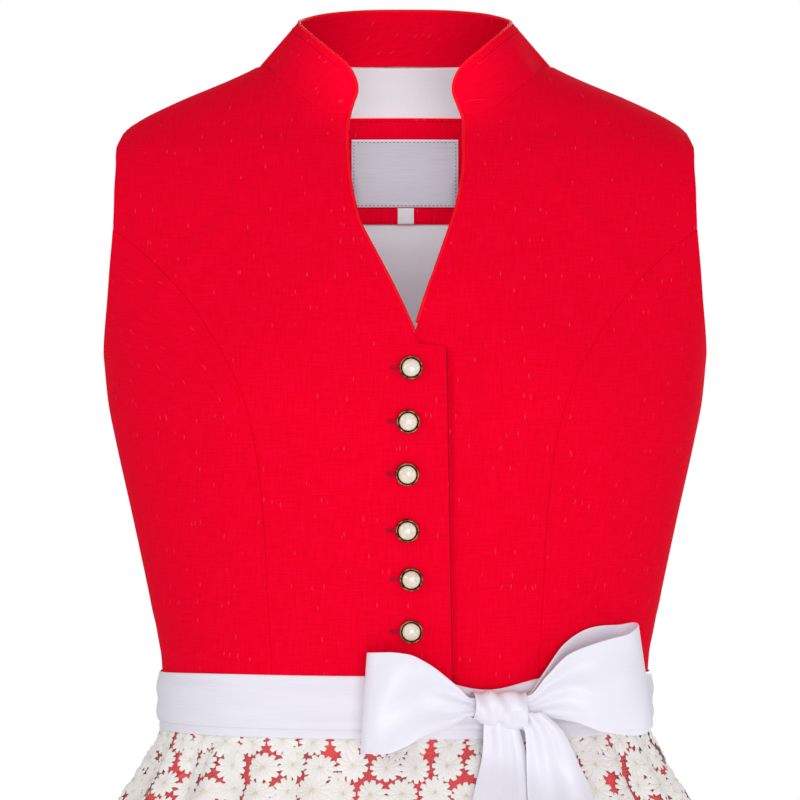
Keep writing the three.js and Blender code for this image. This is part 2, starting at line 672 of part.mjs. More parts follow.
// A loop goes out from the knot along its back layer and comes home along its front layer.
function loopSurface({ side, root, length, flare, hollow, bend, backLift, outline }) {
  const topAt = reader(outline, "reach", "top");
  const bottomAt = reader(outline, "reach", "bottom");
  return (s, t) => {
    const reach = Math.sin(Math.PI * s);
    const back = Math.cos(Math.PI * s);
    const lift = backLift * smooth(reach, 0.2, 0.7) * (0.5 + 0.5 * back);
    const y = back * (LOOP_ROOT + 2 * hollow * reach * reach) + bend * reach * reach;
    const z = THREE.MathUtils.lerp(bottomAt(reach), topAt(reach), t) + lift - BOW.z;
    return new THREE.Vector3(side * (root + (length + flare * (1 - t)) * reach), y, z);
  };
}
for (const [name, loop] of [["bow_loop_left", LEFT_LOOP], ["bow_loop_right", RIGHT_LOOP]]) {
  add(name, wall(loopSurface(loop), steps(20), steps(3), -THIN_CLOTH / 2, THIN_CLOTH / 2), satin, bow);
}

function knotSurface(turn, x) {
  const size = 1 - (1 - KNOT.waist) * (x / KNOT.halfWidth) ** 2;
  return new THREE.Vector3(
    x,
    -size * (KNOT.halfDepth - THIN_CLOTH / 2) * Math.cos(turn),
    size * (KNOT.halfHeight - THIN_CLOTH / 2) * Math.sin(turn),
  );
}
add("bow_knot", wall(
  knotSurface,
  steps(15, 0, (15 / 16) * 2 * Math.PI),
  steps(2, -KNOT.halfWidth, KNOT.halfWidth),
  -THIN_CLOTH / 2,
  THIN_CLOTH / 2,
  { ring: true },
), satin, bow);

// The tails hang from under the knot and lie on the crests of the apron's folds.
function tailSurface(route) {
  const middle = reader(route, "z", "x");
  const half = reader(route, "z", "half");
  return (s, z) => {
    const low = z - TAIL_CUT_SLANT * s * smooth(-z, 700, 770);
    const x = middle(z) + half(z) * s;
    const crest = foldDepthAt(low) * smooth(-low, 337, 360);
    const resting = bareForm(angleAtX(x, low), low).y - crest - TAIL_CLEAR;
    const hanging = bow.position.y + 1;
    const y = Math.min(THREE.MathUtils.lerp(hanging, resting, smooth(-low, 328, 380)), resting);
    return new THREE.Vector3(x, y - 1.5 * (1 - s * s), low);
  };
}
const TAIL_ROWS = [0, 0.03, 0.07, 0.12, 0.2, 0.3, 0.42, 0.56, 0.7, 0.85, 1];
for (const [name, route] of [["bow_tail_left", LEFT_TAIL], ["bow_tail_right", RIGHT_TAIL]]) {
  const top = route[0].z;
  const bottom = route[route.length - 1].z;
  const rows = TAIL_ROWS.map((share) => bottom + (top - bottom) * (1 - share)).reverse();
  add(name, wall(tailSurface(route), steps(3, -1, 1), rows, 0, THIN_CLOTH), satin);
}

// A button is a milled rim with a half pearl set in it, turned to lie on the lap.
function rimGeometry() {
  const { rimRadius, seatRadius, rimHeight, sides } = BUTTON;
  const profile = [
    [0, 0],
    [rimRadius - 0.5, 0],
    [rimRadius, 0.7],
    [rimRadius - 0.3, rimHeight - 0.3],
    [seatRadius, rimHeight],
    [seatRadius, 1],
    [0, 1],
  ];
  return new THREE.LatheGeometry(profile.map(([r, h]) => new THREE.Vector2(r, h)), sides);
}

function pearlGeometry() {
  const { seatRadius, pearlHeight, sides } = BUTTON;
  const radius = seatRadius - SEAM_GAP;
  const base = 1 + SEAM_GAP;
  const profile = [[0, base], [radius, base], [radius, 2.2]];
  for (const share of [0.35, 0.7]) {
    const rise = share * (Math.PI / 2);
    profile.push([radius * Math.cos(rise), 2.2 + (pearlHeight - 1) * Math.sin(rise)]);
  }
  profile.push([0, 2.2 + pearlHeight - 1]);
  return new THREE.LatheGeometry(profile.map(([r, h]) => new THREE.Vector2(r, h)), sides);
}

BUTTONS.forEach(({ x, z }, i) => {
  const { at, outward } = frameOn(x, z);
  const button = new THREE.Group();
  button.position.copy(at).addScaledVector(outward, CLOTH / 2 + SEAM_GAP + 0.15);
  button.quaternion.setFromUnitVectors(new THREE.Vector3(0, 1, 0), outward);
  dirndl.add(button);
  add(`button_rim_${i + 1}`, rimGeometry(), brass, button);
  add(`button_pearl_${i + 1}`, pearlGeometry(), pearl, button);
});

export default dirndl;
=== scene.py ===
# A sleeveless dirndl as it is worn: a red linen bodice with a stand collar and a V opening, six
# pearl buttons, a gathered skirt, a gathered apron of daisy lace, and a white satin tie and bow.
# Places and sizes are in millimetres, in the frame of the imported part: +Z up, the front faces -Y
# and the wearer's left is +X. Every mesh is turned to metres when it is made.
import math

import bpy
import numpy as np
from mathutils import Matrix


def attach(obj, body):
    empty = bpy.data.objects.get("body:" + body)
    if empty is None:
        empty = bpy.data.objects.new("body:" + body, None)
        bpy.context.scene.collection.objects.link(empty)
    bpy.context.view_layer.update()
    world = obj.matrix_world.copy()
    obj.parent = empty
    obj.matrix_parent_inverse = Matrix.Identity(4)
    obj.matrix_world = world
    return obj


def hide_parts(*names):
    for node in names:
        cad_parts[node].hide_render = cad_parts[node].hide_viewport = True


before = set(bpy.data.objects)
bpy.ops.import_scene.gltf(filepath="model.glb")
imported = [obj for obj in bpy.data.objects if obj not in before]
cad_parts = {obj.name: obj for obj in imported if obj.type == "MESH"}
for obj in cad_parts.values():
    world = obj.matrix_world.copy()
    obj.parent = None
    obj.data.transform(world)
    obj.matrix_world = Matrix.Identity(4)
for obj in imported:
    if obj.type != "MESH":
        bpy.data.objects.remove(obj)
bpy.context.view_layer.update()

# The picture: a level camera with a long lens at chest height, straight in front. The garment
# stands over a plain pale floor, in the soft white light of a studio with large lamps.
PICTURE_WIDTH = 430
CAMERA_DISTANCE = 2600
CAMERA_X = -2.7
CAMERA_Z = -161
SENSOR = 36
FLOOR_Z = -1350
FLOOR_RADIUS = 9000
ROOM_LIGHT = 0.5
LAMP_AIM = (0, 0, -0.25)
LAMPS = [
    {"name": "front_lamp", "at": (0.4, -3.3, -0.8), "size": 1.8, "watts": 46},
    {"name": "left_lamp", "at": (-2.4, -1.3, 0.5), "size": 1.0, "watts": 11},
    {"name": "right_lamp", "at": (2.4, -1.6, -0.3), "size": 1.0, "watts": 7},
    {"name": "back_lamp", "at": (0.6, 2.4, 0.6), "size": 1.6, "watts": 22},
]
# A narrow lamp shines in over the front of the neck, so that the lining can be seen.
NECK_LAMP = {"y": -1.2, "z": 0.42, "ahead": 1.27, "down": 0.44, "watts": 34, "cone": 4.6,
             "edge": 0.7, "size": 0.03}

camera_data = bpy.data.cameras.new("camera")
camera_data.sensor_width = SENSOR
camera_data.lens = SENSOR * CAMERA_DISTANCE / PICTURE_WIDTH
camera_data.clip_end = 60
camera = bpy.data.objects.new("camera", camera_data)
camera.location = (CAMERA_X / 1000, -CAMERA_DISTANCE / 1000, CAMERA_Z / 1000)
camera.rotation_euler = (math.radians(90), 0, 0)
bpy.context.scene.collection.objects.link(camera)
bpy.context.scene.camera = camera


def linear(hex_colour):
    """A colour written as sRGB hex, as the linear values that a shader takes."""
    shares = [int(hex_colour[i:i + 2], 16) / 255 for i in (1, 3, 5)]
    return tuple(s / 12.92 if s <= 0.04045 else ((s + 0.055) / 1.055) ** 2.4 for s in shares) + (1,)


def add_node(material, kind, links=None, values=None, **settings):
    """Adds a node to a material with its settings, its sockets' values and what is linked in."""
    node = material.node_tree.nodes.new(kind)
    for key, setting in settings.items():
        setattr(node, key, setting)
    for key, value in (values or {}).items():
        node.inputs[key].default_value = value
    for key, source in (links or {}).items():
        material.node_tree.links.new(source, node.inputs[key])
    return node


def new_material(name):
    material = bpy.data.materials.new(name)
    material.use_nodes = True
    material.node_tree.nodes.clear()
    return material


def finish_material(material, shader):
    add_node(material, "ShaderNodeOutputMaterial", {"Surface": shader.outputs[0]})
    return material


def painted_floor():
    """Matt paint on boards: plain, with a faint unevenness from the roller."""
    material = new_material("matt_floor_paint")
    place = add_node(material, "ShaderNodeTexCoord")
    roller = add_node(material, "ShaderNodeTexNoise", {"Vector": place.outputs["Object"]},
                      {"Scale": 60})
    bump = add_node(material, "ShaderNodeBump", {"Height": roller.outputs[0]},
                    {"Strength": 0.02, "Distance": 0.001})
    paint = add_node(material, "ShaderNodeBsdfPrincipled", {"Normal": bump.outputs[0]},
                     {"Base Color": linear("#ECECEC"), "Roughness": 0.8})
    return finish_material(material, paint)


floor_mesh = bpy.data.meshes.new("floor")
rim_angles = np.linspace(0, 2 * math.pi, 96, endpoint=False)
rim = [(FLOOR_RADIUS / 1000 * math.cos(a), FLOOR_RADIUS / 1000 * math.sin(a), FLOOR_Z / 1000)
       for a in rim_angles]
floor_mesh.from_pydata(rim, [], [tuple(range(len(rim)))])
floor_mesh.materials.append(painted_floor())
floor = bpy.data.objects.new("floor", floor_mesh)
bpy.context.scene.collection.objects.link(floor)

world = bpy.data.worlds.new("studio_white")
world.use_nodes = True
room_light = world.node_tree.nodes["Background"]
room_light.inputs["Color"].default_value = (1, 1, 1, 1)
room_light.inputs["Strength"].default_value = ROOM_LIGHT
backdrop = world.node_tree.nodes.new("ShaderNodeBackground")
backdrop.inputs["Color"].default_value = (1, 1, 1, 1)
seen = world.node_tree.nodes.new("ShaderNodeLightPath")
either = world.node_tree.nodes.new("ShaderNodeMixShader")
world.node_tree.links.new(seen.outputs["Is Camera Ray"], either.inputs[0])
world.node_tree.links.new(room_light.outputs[0], either.inputs[1])
world.node_tree.links.new(backdrop.outputs[0], either.inputs[2])
world.node_tree.links.new(either.outputs[0], world.node_tree.nodes["World Output"].inputs[0])
bpy.context.scene.world = world
bpy.context.scene.view_settings.view_transform = "Standard"
bpy.context.scene.view_settings.look = "None"

for lamp in LAMPS:
    lamp_data = bpy.data.lights.new(lamp["name"], "AREA")
    lamp_data.size = lamp["size"]
    lamp_data.energy = lamp["watts"]
    lamp_object = bpy.data.objects.new(lamp["name"], lamp_data)
    lamp_object.location = lamp["at"]
    toward = np.array(LAMP_AIM) - np.array(lamp["at"])
    lamp_object.rotation_euler = (
        math.acos(-toward[2] / np.linalg.norm(toward)), 0, math.atan2(toward[1], toward[0]) - math.pi / 2)
    bpy.context.scene.collection.objects.link(lamp_object)

neck_lamp_data = bpy.data.lights.new("neck_lamp", "SPOT")
neck_lamp_data.energy = NECK_LAMP["watts"]
neck_lamp_data.spot_size = math.radians(NECK_LAMP["cone"])
neck_lamp_data.spot_blend = NECK_LAMP["edge"]
neck_lamp_data.shadow_soft_size = NECK_LAMP["size"]
neck_lamp = bpy.data.objects.new("neck_lamp", neck_lamp_data)
neck_lamp.location = (0, NECK_LAMP["y"], NECK_LAMP["z"])
neck_lamp.rotation_euler = (math.atan2(NECK_LAMP["ahead"], NECK_LAMP["down"]), 0, 0)
bpy.context.scene.collection.objects.link(neck_lamp)

# The form that all the cloth lies on: a stack of round-cornered ovals, one to each height, with
# the fullness of the bust and, below the waist, the folds of the skirt.
WAIST_SEAM_Z = -320
SECTIONS = [
    {"z": 26, "side": 70, "front": 42, "back": 61, "round": 1.9},
    {"z": 18, "side": 78, "front": 47, "back": 64, "round": 1.9},
    {"z": 10, "side": 94, "front": 53, "back": 67, "round": 1.9},
    {"z": 0, "side": 118, "front": 59, "back": 71, "round": 1.9},
    {"z": -10, "side": 139, "front": 65, "back": 75, "round": 1.95},
    {"z": -17, "side": 150, "front": 69, "back": 79, "round": 2.0},
    {"z": -30, "side": 165, "front": 78, "back": 85, "round": 2.1},
    {"z": -53, "side": 171.5, "front": 91, "back": 93, "round": 2.2},
    {"z": -75, "side": 169.5, "front": 101, "back": 98, "round": 2.3},
    {"z": -105, "side": 164.8, "front": 111, "back": 102, "round": 2.4},
    {"z": -140, "side": 160.6, "front": 117, "back": 102, "round": 2.4},
    {"z": -161, "side": 158.5, "front": 118, "back": 100, "round": 2.4},
    {"z": -182, "side": 154.5, "front": 116, "back": 97, "round": 2.35},
    {"z": -225, "side": 145, "front": 110, "back": 91, "round": 2.3},
    {"z": -268, "side": 136, "front": 104, "back": 87, "round": 2.2},
    {"z": -300, "side": 130, "front": 100, "back": 86, "round": 2.2},
    {"z": -320, "side": 129, "front": 98, "back": 87, "round": 2.2},
    {"z": -337, "side": 129.5, "front": 99, "back": 89, "round": 2.2},
    {"z": -354, "side": 134.5, "front": 106, "back": 98, "round": 2.15},
    {"z": -375, "side": 146, "front": 118, "back": 111, "round": 2.1},
    {"z": -405, "side": 163, "front": 134, "back": 129, "round": 2.05},
    {"z": -450, "side": 186, "front": 153, "back": 151, "round": 2},
    {"z": -520, "side": 210, "front": 176, "back": 177, "round": 2},
    {"z": -620, "side": 236, "front": 201, "back": 204, "round": 2},
    {"z": -740, "side": 261, "front": 226, "back": 230, "round": 2},
    {"z": -860, "side": 281, "front": 247, "back": 251, "round": 2},
    {"z": -966, "side": 296, "front": 262, "back": 266, "round": 2},
]
FULLNESS = {"depth": 11, "x": 80, "z": -152, "width": 44, "height": 44}
FOLD_COUNT = 22
FOLD_DEPTHS = [
    {"z": -337, "depth": 0},
    {"z": -354, "depth": 3},
    {"z": -375, "depth": 6},
    {"z": -430, "depth": 11},
    {"z": -520, "depth": 16},
    {"z": -700, "depth": 20},
    {"z": -966, "depth": 23},
]


def reader(rows, key, column):
    """Reads a column of a table at any height, along a curve with no overshoot."""
    ordered = sorted(rows, key=lambda row: row[key])
    at = np.array([row[key] for row in ordered], float)
    value = np.array([row[column] for row in ordered], float)
    slope = np.diff(value) / np.diff(at)
    product = slope[:-1] * slope[1:]
    total = slope[:-1] + slope[1:]
    level = (product <= 0) | (total == 0)
    within = np.where(level, 0, 2 * product / np.where(level, 1, total))
    tangent = np.concatenate([slope[:1], within, slope[-1:]])

    def read(x):
        x = np.clip(x, at[0], at[-1])
        i = np.clip(np.searchsorted(at, x) - 1, 0, len(at) - 2)
        width = at[i + 1] - at[i]
        t = (x - at[i]) / width
        curve = value[i] + (value[i + 1] - value[i]) * t * t * (3 - 2 * t)
        curve = curve + t * (1 - t) ** 2 * width * tangent[i]
        return curve + t * t * (t - 1) * width * tangent[i + 1]
    return read


def smooth(x, low, high):
    share = np.clip((x - low) / (high - low), 0, 1)
    return share * share * (3 - 2 * share)


side_at = reader(SECTIONS, "z", "side")
front_at = reader(SECTIONS, "z", "front")
back_at = reader(SECTIONS, "z", "back")
round_at = reader(SECTIONS, "z", "round")
fold_depth_at = reader(FOLD_DEPTHS, "z", "depth")


def fold_wave(angle):
    """How far a place stands out on a fold. The folds drift and differ, so that no two are alike."""
    drift = 0.9 * np.sin(3 * angle + 1.1) + 0.6 * np.sin(5 * angle + 2.3)
    height = 0.8 + 0.2 * np.sin(4 * angle + 0.7)
    return height * np.cos(FOLD_COUNT * angle + drift)


def bare_form(angle, z):
    """A point before folding. angle is 0 at the centre front, a quarter turn at the left side."""
    angle, z = np.broadcast_arrays(angle, z)
    sine = np.sin(angle)
    cosine = np.cos(angle)
    power = 2 / round_at(z)
    depth = np.where(cosine > 0, -front_at(z), back_at(z))
    x = side_at(z) * np.sign(sine) * np.abs(sine) ** power
    y = depth * np.abs(cosine) ** power
    across = (np.abs(x) - FULLNESS["x"]) / FULLNESS["width"]
    up = (z - FULLNESS["z"]) / FULLNESS["height"]
    y = y - FULLNESS["depth"] * np.exp(-across ** 2 - up ** 2) * smooth(cosine, 0, 0.3)
    return np.stack([x, y, z], axis=-1)


def form(angle, z):
    """A point of the form, with the skirt's folds below the waist seam."""
    point = bare_form(angle, z)
    swing = np.where(point[..., 2] < WAIST_SEAM_Z, fold_depth_at(point[..., 2]), 0) * fold_wave(angle)
    point[..., 0] += swing * np.sin(angle)
    point[..., 1] -= swing * np.cos(angle)
    return point


def angle_at_x(x, z):
    """The angle of the place on the front that lies at x."""
    share = np.minimum(1, np.abs(x) / side_at(z))
    return np.sign(x) * np.arcsin(share ** (round_at(z) / 2))


def angle_behind(x, z):
    """The same for a place on the back."""
    return math.pi - angle_at_x(x, z)


def angle_at_y(y, z):
    """The angle of the place on the left side that lies at y."""
    depth = np.where(y < 0, front_at(z), back_at(z))
    angle = np.arccos(np.minimum(1, np.abs(y) / depth) ** (round_at(z) / 2))
    return np.where(y < 0, angle, math.pi - angle)


def frame_at(angle, z):
    """Where a place lies on the form, and which way is out."""
    along = form(angle + 0.01, z) - form(angle - 0.01, z)
    rise = form(angle, z + 0.5) - form(angle, z - 0.5)
    outward = np.cross(along, rise)
    return form(angle, z), outward / np.linalg.norm(outward, axis=-1, keepdims=True)


# The bodice is cut from red linen, a slubbed cloth of dyed flax. Seven panels are joined by
# princess seams that run from the armholes to the waist, and the edges are turned under.
CLOTH = 1.5
LINEN_THREAD = 1.5
# A wave texture of scale 1 repeats every 0.314 mm of the cloth.
WAVE_LENGTH = 0.314
SEAM_HALF_GAP = 0.04
PANEL_ROW = 4
PANEL_TURNED = 0.35
SHOULDER_POINT_Z = -17
NECK_SIDE_Z = 17.8
NECK_FRONT_Z = -11.6
FRONT_TOP_Z = 17
BACK_TOP_Z = 23.85
BACK_NECK = {"z": 24, "half_width": 76}
FRONT_PRINCESS_TOP_Z = -71.1
FRONT_PRINCESS = [
    {"z": -320, "x": 68},
    {"z": -268, "x": 71},
    {"z": -225, "x": 73},
    {"z": -193, "x": 76},
    {"z": -171, "x": 80},
    {"z": -150, "x": 87},
    {"z": -127, "x": 100},
    {"z": -106, "x": 115},
    {"z": -84, "x": 137},
    {"z": -70, "x": 155},
]
BACK_PRINCESS_TOP_Z = -79.2
BACK_PRINCESS = [
    {"z": -320, "x": 64},
    {"z": -250, "x": 71},
    {"z": -205, "x": 80},
    {"z": -170, "x": 90},
    {"z": -140, "x": 102},
    {"z": -115, "x": 118},
    {"z": -95, "x": 137},
    {"z": -78, "x": 157},
]
LAP_TOP_Z = -133.4
LAP_EDGE = [{"z": -320, "x": 24.5}, {"z": -133.4, "x": 21}]
RIGHT_V_EDGE = [
    {"z": -132.2, "x": 7.2},
    {"z": -130, "x": 6.2},
    {"z": -109.5, "x": -3.2},
    {"z": -88.6, "x": -13.8},
    {"z": -67.6, "x": -24.4},
    {"z": -46.2, "x": -29.2},
    {"z": -24.5, "x": -31},
    {"z": -12, "x": -30},
]
LEFT_V_EDGE = [
    {"z": -320, "x": -12},
    {"z": -150, "x": -10},
    {"z": -136, "x": -1},
    {"z": -125, "x": 5},
    {"z": -109.5, "x": 10.3},
    {"z": -91, "x": 17},
    {"z": -72.8, "x": 23.4},
    {"z": -54, "x": 28.7},
    {"z": -35, "x": 31},
    {"z": -12, "x": 31},
]
# The left front runs on sunk under the lap, and is pressed in along the lap's edge. Towards the V
# and towards the side it rises to the bodice again.
UNDERLAP = {"inset": CLOTH + 0.8, "from": 29, "to": 42, "low": -118, "high": -104}
PRESSED_IN = {"depth": 1.2, "beside": 0.8, "width": 1.4, "low": -137, "high": -133}
# The collar from the middle of the back, s 0, to its front end, s 1: its seam and its top.
COLLAR = [
    {"s": 0, "seam_x": 0, "seam_y": 60.5, "seam_z": 24, "top_x": 0, "top_y": 52, "top_z": 51.5},
    {"s": 0.18, "seam_x": 29, "seam_y": 55, "seam_z": 23.3, "top_x": 24, "top_y": 47.5, "top_z": 50.8},
    {"s": 0.36, "seam_x": 54, "seam_y": 40, "seam_z": 21.5, "top_x": 43, "top_y": 33, "top_z": 48},
    {"s": 0.52, "seam_x": 71, "seam_y": 17, "seam_z": 19.2, "top_x": 55, "top_y": 12, "top_z": 43.6},
    {"s": 0.62, "seam_x": 75, "seam_y": -4, "seam_z": 17, "top_x": 57, "top_y": -7, "top_z": 40},
    {"s": 0.74, "seam_x": 66.5, "seam_z": 9.5, "top_x": 51, "top_y": -27, "top_z": 33},
    {"s": 0.86, "seam_x": 54, "seam_z": -1.5, "top_x": 41, "top_y": -41, "top_z": 24},
    {"s": 0.94, "seam_x": 43, "seam_z": -9.5, "top_x": 31.5, "top_y": -49, "top_z": 15.5},
    {"s": 0.98, "seam_x": 35.5, "seam_z": -11, "top_x": 27, "top_y": -55, "top_z": 8},
    {"s": 1, "seam_x": 30.2, "seam_z": -11.6, "top_x": 26, "top_y": -59, "top_z": 1},
]
ARMHOLE = {"top": SHOULDER_POINT_Z, "bottom": -140, "front": 50, "back": 46}
# Rows lie close together where an outline turns sharply: the collar's ends, the armhole's foot
# and the neck behind. The threads of a side panel keep to the line at its middle angle.
COLLAR_END_ROWS = (-11.6, -11.3, -11, -10.5, -10, -9.5, -9, -8)
ARMHOLE_FOOT_ROWS = (-140, -139.6, -138.5, -136)
BACK_NECK_ROWS = {"count": 10, "low": 18.2, "high": 23.2}
SIDE_FRONT_MIDDLE = 1.2
SIDE_BACK_MIDDLE = 1.9
# Where the worn cloth creases: its centre, direction, length and width, and how far it lifts.
BODICE_CREASES = [
    {"x": -52, "z": -300, "turn": 8, "length": 34, "width": 9, "height": 0.7},
    {"x": -40, "z": -282, "turn": -6, "length": 26, "width": 8, "height": 0.45},
    {"x": 48, "z": -296, "turn": -10, "length": 30, "width": 9, "height": 0.6},
    {"x": 50, "z": -268, "turn": 14, "length": 24, "width": 8, "height": 0.4},
    {"x": -98, "z": -296, "turn": -12, "length": 26, "width": 10, "height": 0.8},
    {"x": -104, "z": -270, "turn": 6, "length": 22, "width": 9, "height": 0.5},
    {"x": 100, "z": -292, "turn": 12, "length": 26, "width": 10, "height": 0.8},
    {"x": 106, "z": -264, "turn": -8, "length": 20, "width": 9, "height": 0.5},
    {"x": -118, "z": -95, "turn": 52, "length": 36, "width": 11, "height": 0.8},
    {"x": -92, "z": -70, "turn": 60, "length": 30, "width": 12, "height": 0.5},
    {"x": 120, "z": -98, "turn": -52, "length": 36, "width": 11, "height": 0.8},
    {"x": 92, "z": -66, "turn": -62, "length": 30, "width": 12, "height": 0.5},
    {"x": -70, "z": -30, "turn": -35, "length": 30, "width": 11, "height": 0.5},
    {"x": 72, "z": -32, "turn": 35, "length": 30, "width": 11, "height": 0.5},
    {"x": -22, "z": -160, "turn": 6, "length": 22, "width": 7, "height": 0.35},
    {"x": -24, "z": -215, "turn": -5, "length": 22, "width": 7, "height": 0.35},
    {"x": 30, "z": -190, "turn": -8, "length": 18, "width": 7, "height": 0.3},
    {"x": -50, "z": -296, "turn": 6, "length": 40, "width": 10, "height": 0.8, "front": False},
    {"x": 46, "z": -290, "turn": -8, "length": 36, "width": 10, "height": 0.7, "front": False},
    {"x": 0, "z": -275, "turn": 2, "length": 42, "width": 10, "height": 0.6, "front": False},
    {"x": -90, "z": -60, "turn": 60, "length": 34, "width": 12, "height": 0.6, "front": False},
    {"x": 88, "z": -62, "turn": -60, "length": 34, "width": 12, "height": 0.6, "front": False},
]

front_princess = reader(FRONT_PRINCESS, "z", "x")
back_princess = reader(BACK_PRINCESS, "z", "x")
lap_edge = reader(LAP_EDGE, "z", "x")
right_v_edge = reader(RIGHT_V_EDGE, "z", "x")
left_v_edge = reader(LEFT_V_EDGE, "z", "x")
collar_seam = {c: reader(COLLAR, "s", f"seam_{c}") for c in "xz"}


def steps(count, low=0.0, high=1.0):
    return np.linspace(low, high, count + 1)


def edged(count):
    """Shares from 0 to 1 that lie close together at both ends, where cloth is turned under."""
    close = np.array([0, 0.0015, 0.004, 0.008, 0.014])
    return np.concatenate([close, steps(count, 0.025, 0.975), 1 - close[::-1]])


def arc_lengths(points, axis):
    """How far each point of a grid lies along its row or column."""
    pieces = np.linalg.norm(np.diff(points, axis=axis), axis=-1)
    start = np.zeros_like(np.take(pieces, [0], axis=axis))
    return np.cumsum(np.concatenate([start, pieces], axis=axis), axis=axis)


def grid_normals(points, ring):
    """Which way is out at each point of a grid, which may close round on itself."""
    if ring:
        padded = np.concatenate([points[:, -1:], points, points[:, :1]], axis=1)
        along = np.gradient(padded, axis=1)[:, 1:-1]
    else:
        along = np.gradient(points, axis=1)
    normal = np.cross(along, np.gradient(points, axis=0))
    return normal / np.maximum(np.linalg.norm(normal, axis=-1, keepdims=True), 1e-9)


def new_piece(name, vertices, faces, materials, face_materials=None, uvs=None):
    """A mesh object from points in millimetres, smooth, that rides with the dress."""
    mesh = bpy.data.meshes.new(name)
    mesh.from_pydata((np.asarray(vertices) / 1000).tolist(), [], faces)
    for material in materials:
        mesh.materials.append(material)
    if face_materials is not None:
        mesh.polygons.foreach_set("material_index", np.asarray(face_materials, np.int32))
    if uvs is not None:
        layer = mesh.uv_layers.new(name="cloth")
        corners = np.empty(len(mesh.loops), np.int32)
        mesh.loops.foreach_get("vertex_index", corners)
        layer.data.foreach_set("uv", np.asarray(uvs, np.float32)[corners].ravel())
    mesh.shade_smooth()
    mesh.update()
    piece = bpy.data.objects.new(name, mesh)
    bpy.context.scene.collection.objects.link(piece)
    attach(piece, "root")
    return piece


def stands_for(node):
    """Lets a piece take the place of a CAD node, by hiding the node."""
    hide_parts(node)


def cloth_wall(name, points, inner, outer, face, back=None, ring=False, out=1, turned=1.0, grain=None,
               normal=None):
    """Cloth with two faces and turned edges, from a grid of points and its faces' distances."""
    rows, columns = points.shape[:2]
    if normal is None:
        normal = out * grid_normals(points, ring)
    u = arc_lengths(points, 1)
    v = arc_lengths(points, 0)
    edge = np.minimum(v, v[-1:] - v)
    if not ring:
        edge = np.minimum(edge, np.minimum(u, u[:, -1:] - u))
    full = np.sqrt(1 - (1 - np.clip(edge / turned, 0.02, 1)) ** 2)
    middle = (np.asarray(inner) + outer) / 2 * np.ones((rows, columns))
    half = (np.asarray(outer) - inner) / 2 * full
    faces_out = points + normal * (middle + half)[..., None]
    faces_in = points + normal * (middle - half)[..., None]
    vertices = np.concatenate([faces_out.reshape(-1, 3), faces_in.reshape(-1, 3)])
    total = rows * columns
    last = columns if ring else columns - 1
    j, i = np.meshgrid(np.arange(rows - 1), np.arange(last), indexing="ij")
    near, far = j * columns + i, j * columns + (i + 1) % columns
    quads = np.stack([near, far, far + columns, near + columns], -1).reshape(-1, 4)
    outside = quads if out > 0 else quads[:, ::-1]
    inside = quads[:, ::-1] + total if out > 0 else quads + total
    a = np.arange(last)
    b = (a + 1) % columns
    top = (rows - 1) * columns
    hems = [np.stack([b, a, a + total, b + total], -1),
            np.stack([a + top, b + top, b + top + total, a + top + total], -1)]
    if not ring:
        low = np.arange(rows - 1) * columns
        right = low + columns - 1
        hems.append(np.stack([low, low + columns, low + columns + total, low + total], -1))
        hems.append(np.stack([right + columns, right, right + total, right + columns + total], -1))
    hems = np.concatenate(hems)
    if out < 0:
        hems = hems[:, ::-1]
    faces = np.concatenate([outside, inside, hems])
    kinds = np.concatenate([np.zeros(len(outside)), np.full(len(inside), 1 if back else 0),
                            np.zeros(len(hems))])
    uvs = (np.stack([u, v], -1) if grain is None else grain).reshape(-1, 2)
    return new_piece(name, vertices, faces.tolist(), [face] + ([back] if back else []), kinds,
                     np.concatenate([uvs, uvs]))


def creased(points, creases):
    """How far soft creases lift a grid of points, each a ridge between two shallow troughs."""
    lift = np.zeros(points.shape[:-1])
    for crease in creases:
        turn = math.radians(crease["turn"])
        x = points[..., 0] - crease["x"]
        z = points[..., 2] - crease["z"]
        along = x * math.cos(turn) + z * math.sin(turn)
        across = -x * math.sin(turn) + z * math.cos(turn) + along ** 2 * crease.get("bow", 0)
        ridge = np.cos(math.pi * across / crease["width"])
        ridge = ridge * np.exp(-(across / crease["width"]) ** 2 - (along / crease["length"]) ** 2)
        facing = points[..., 1] < 0 if crease.get("front", True) else points[..., 1] > 0
        lift += crease["height"] * ridge * facing
    return lift


def neck_seam(z):
    """How far out the neck seam lies at a height, on the front."""
    front = np.linspace(1, 0.62, 200)
    return np.interp(z, collar_seam["z"](front), collar_seam["x"](front))


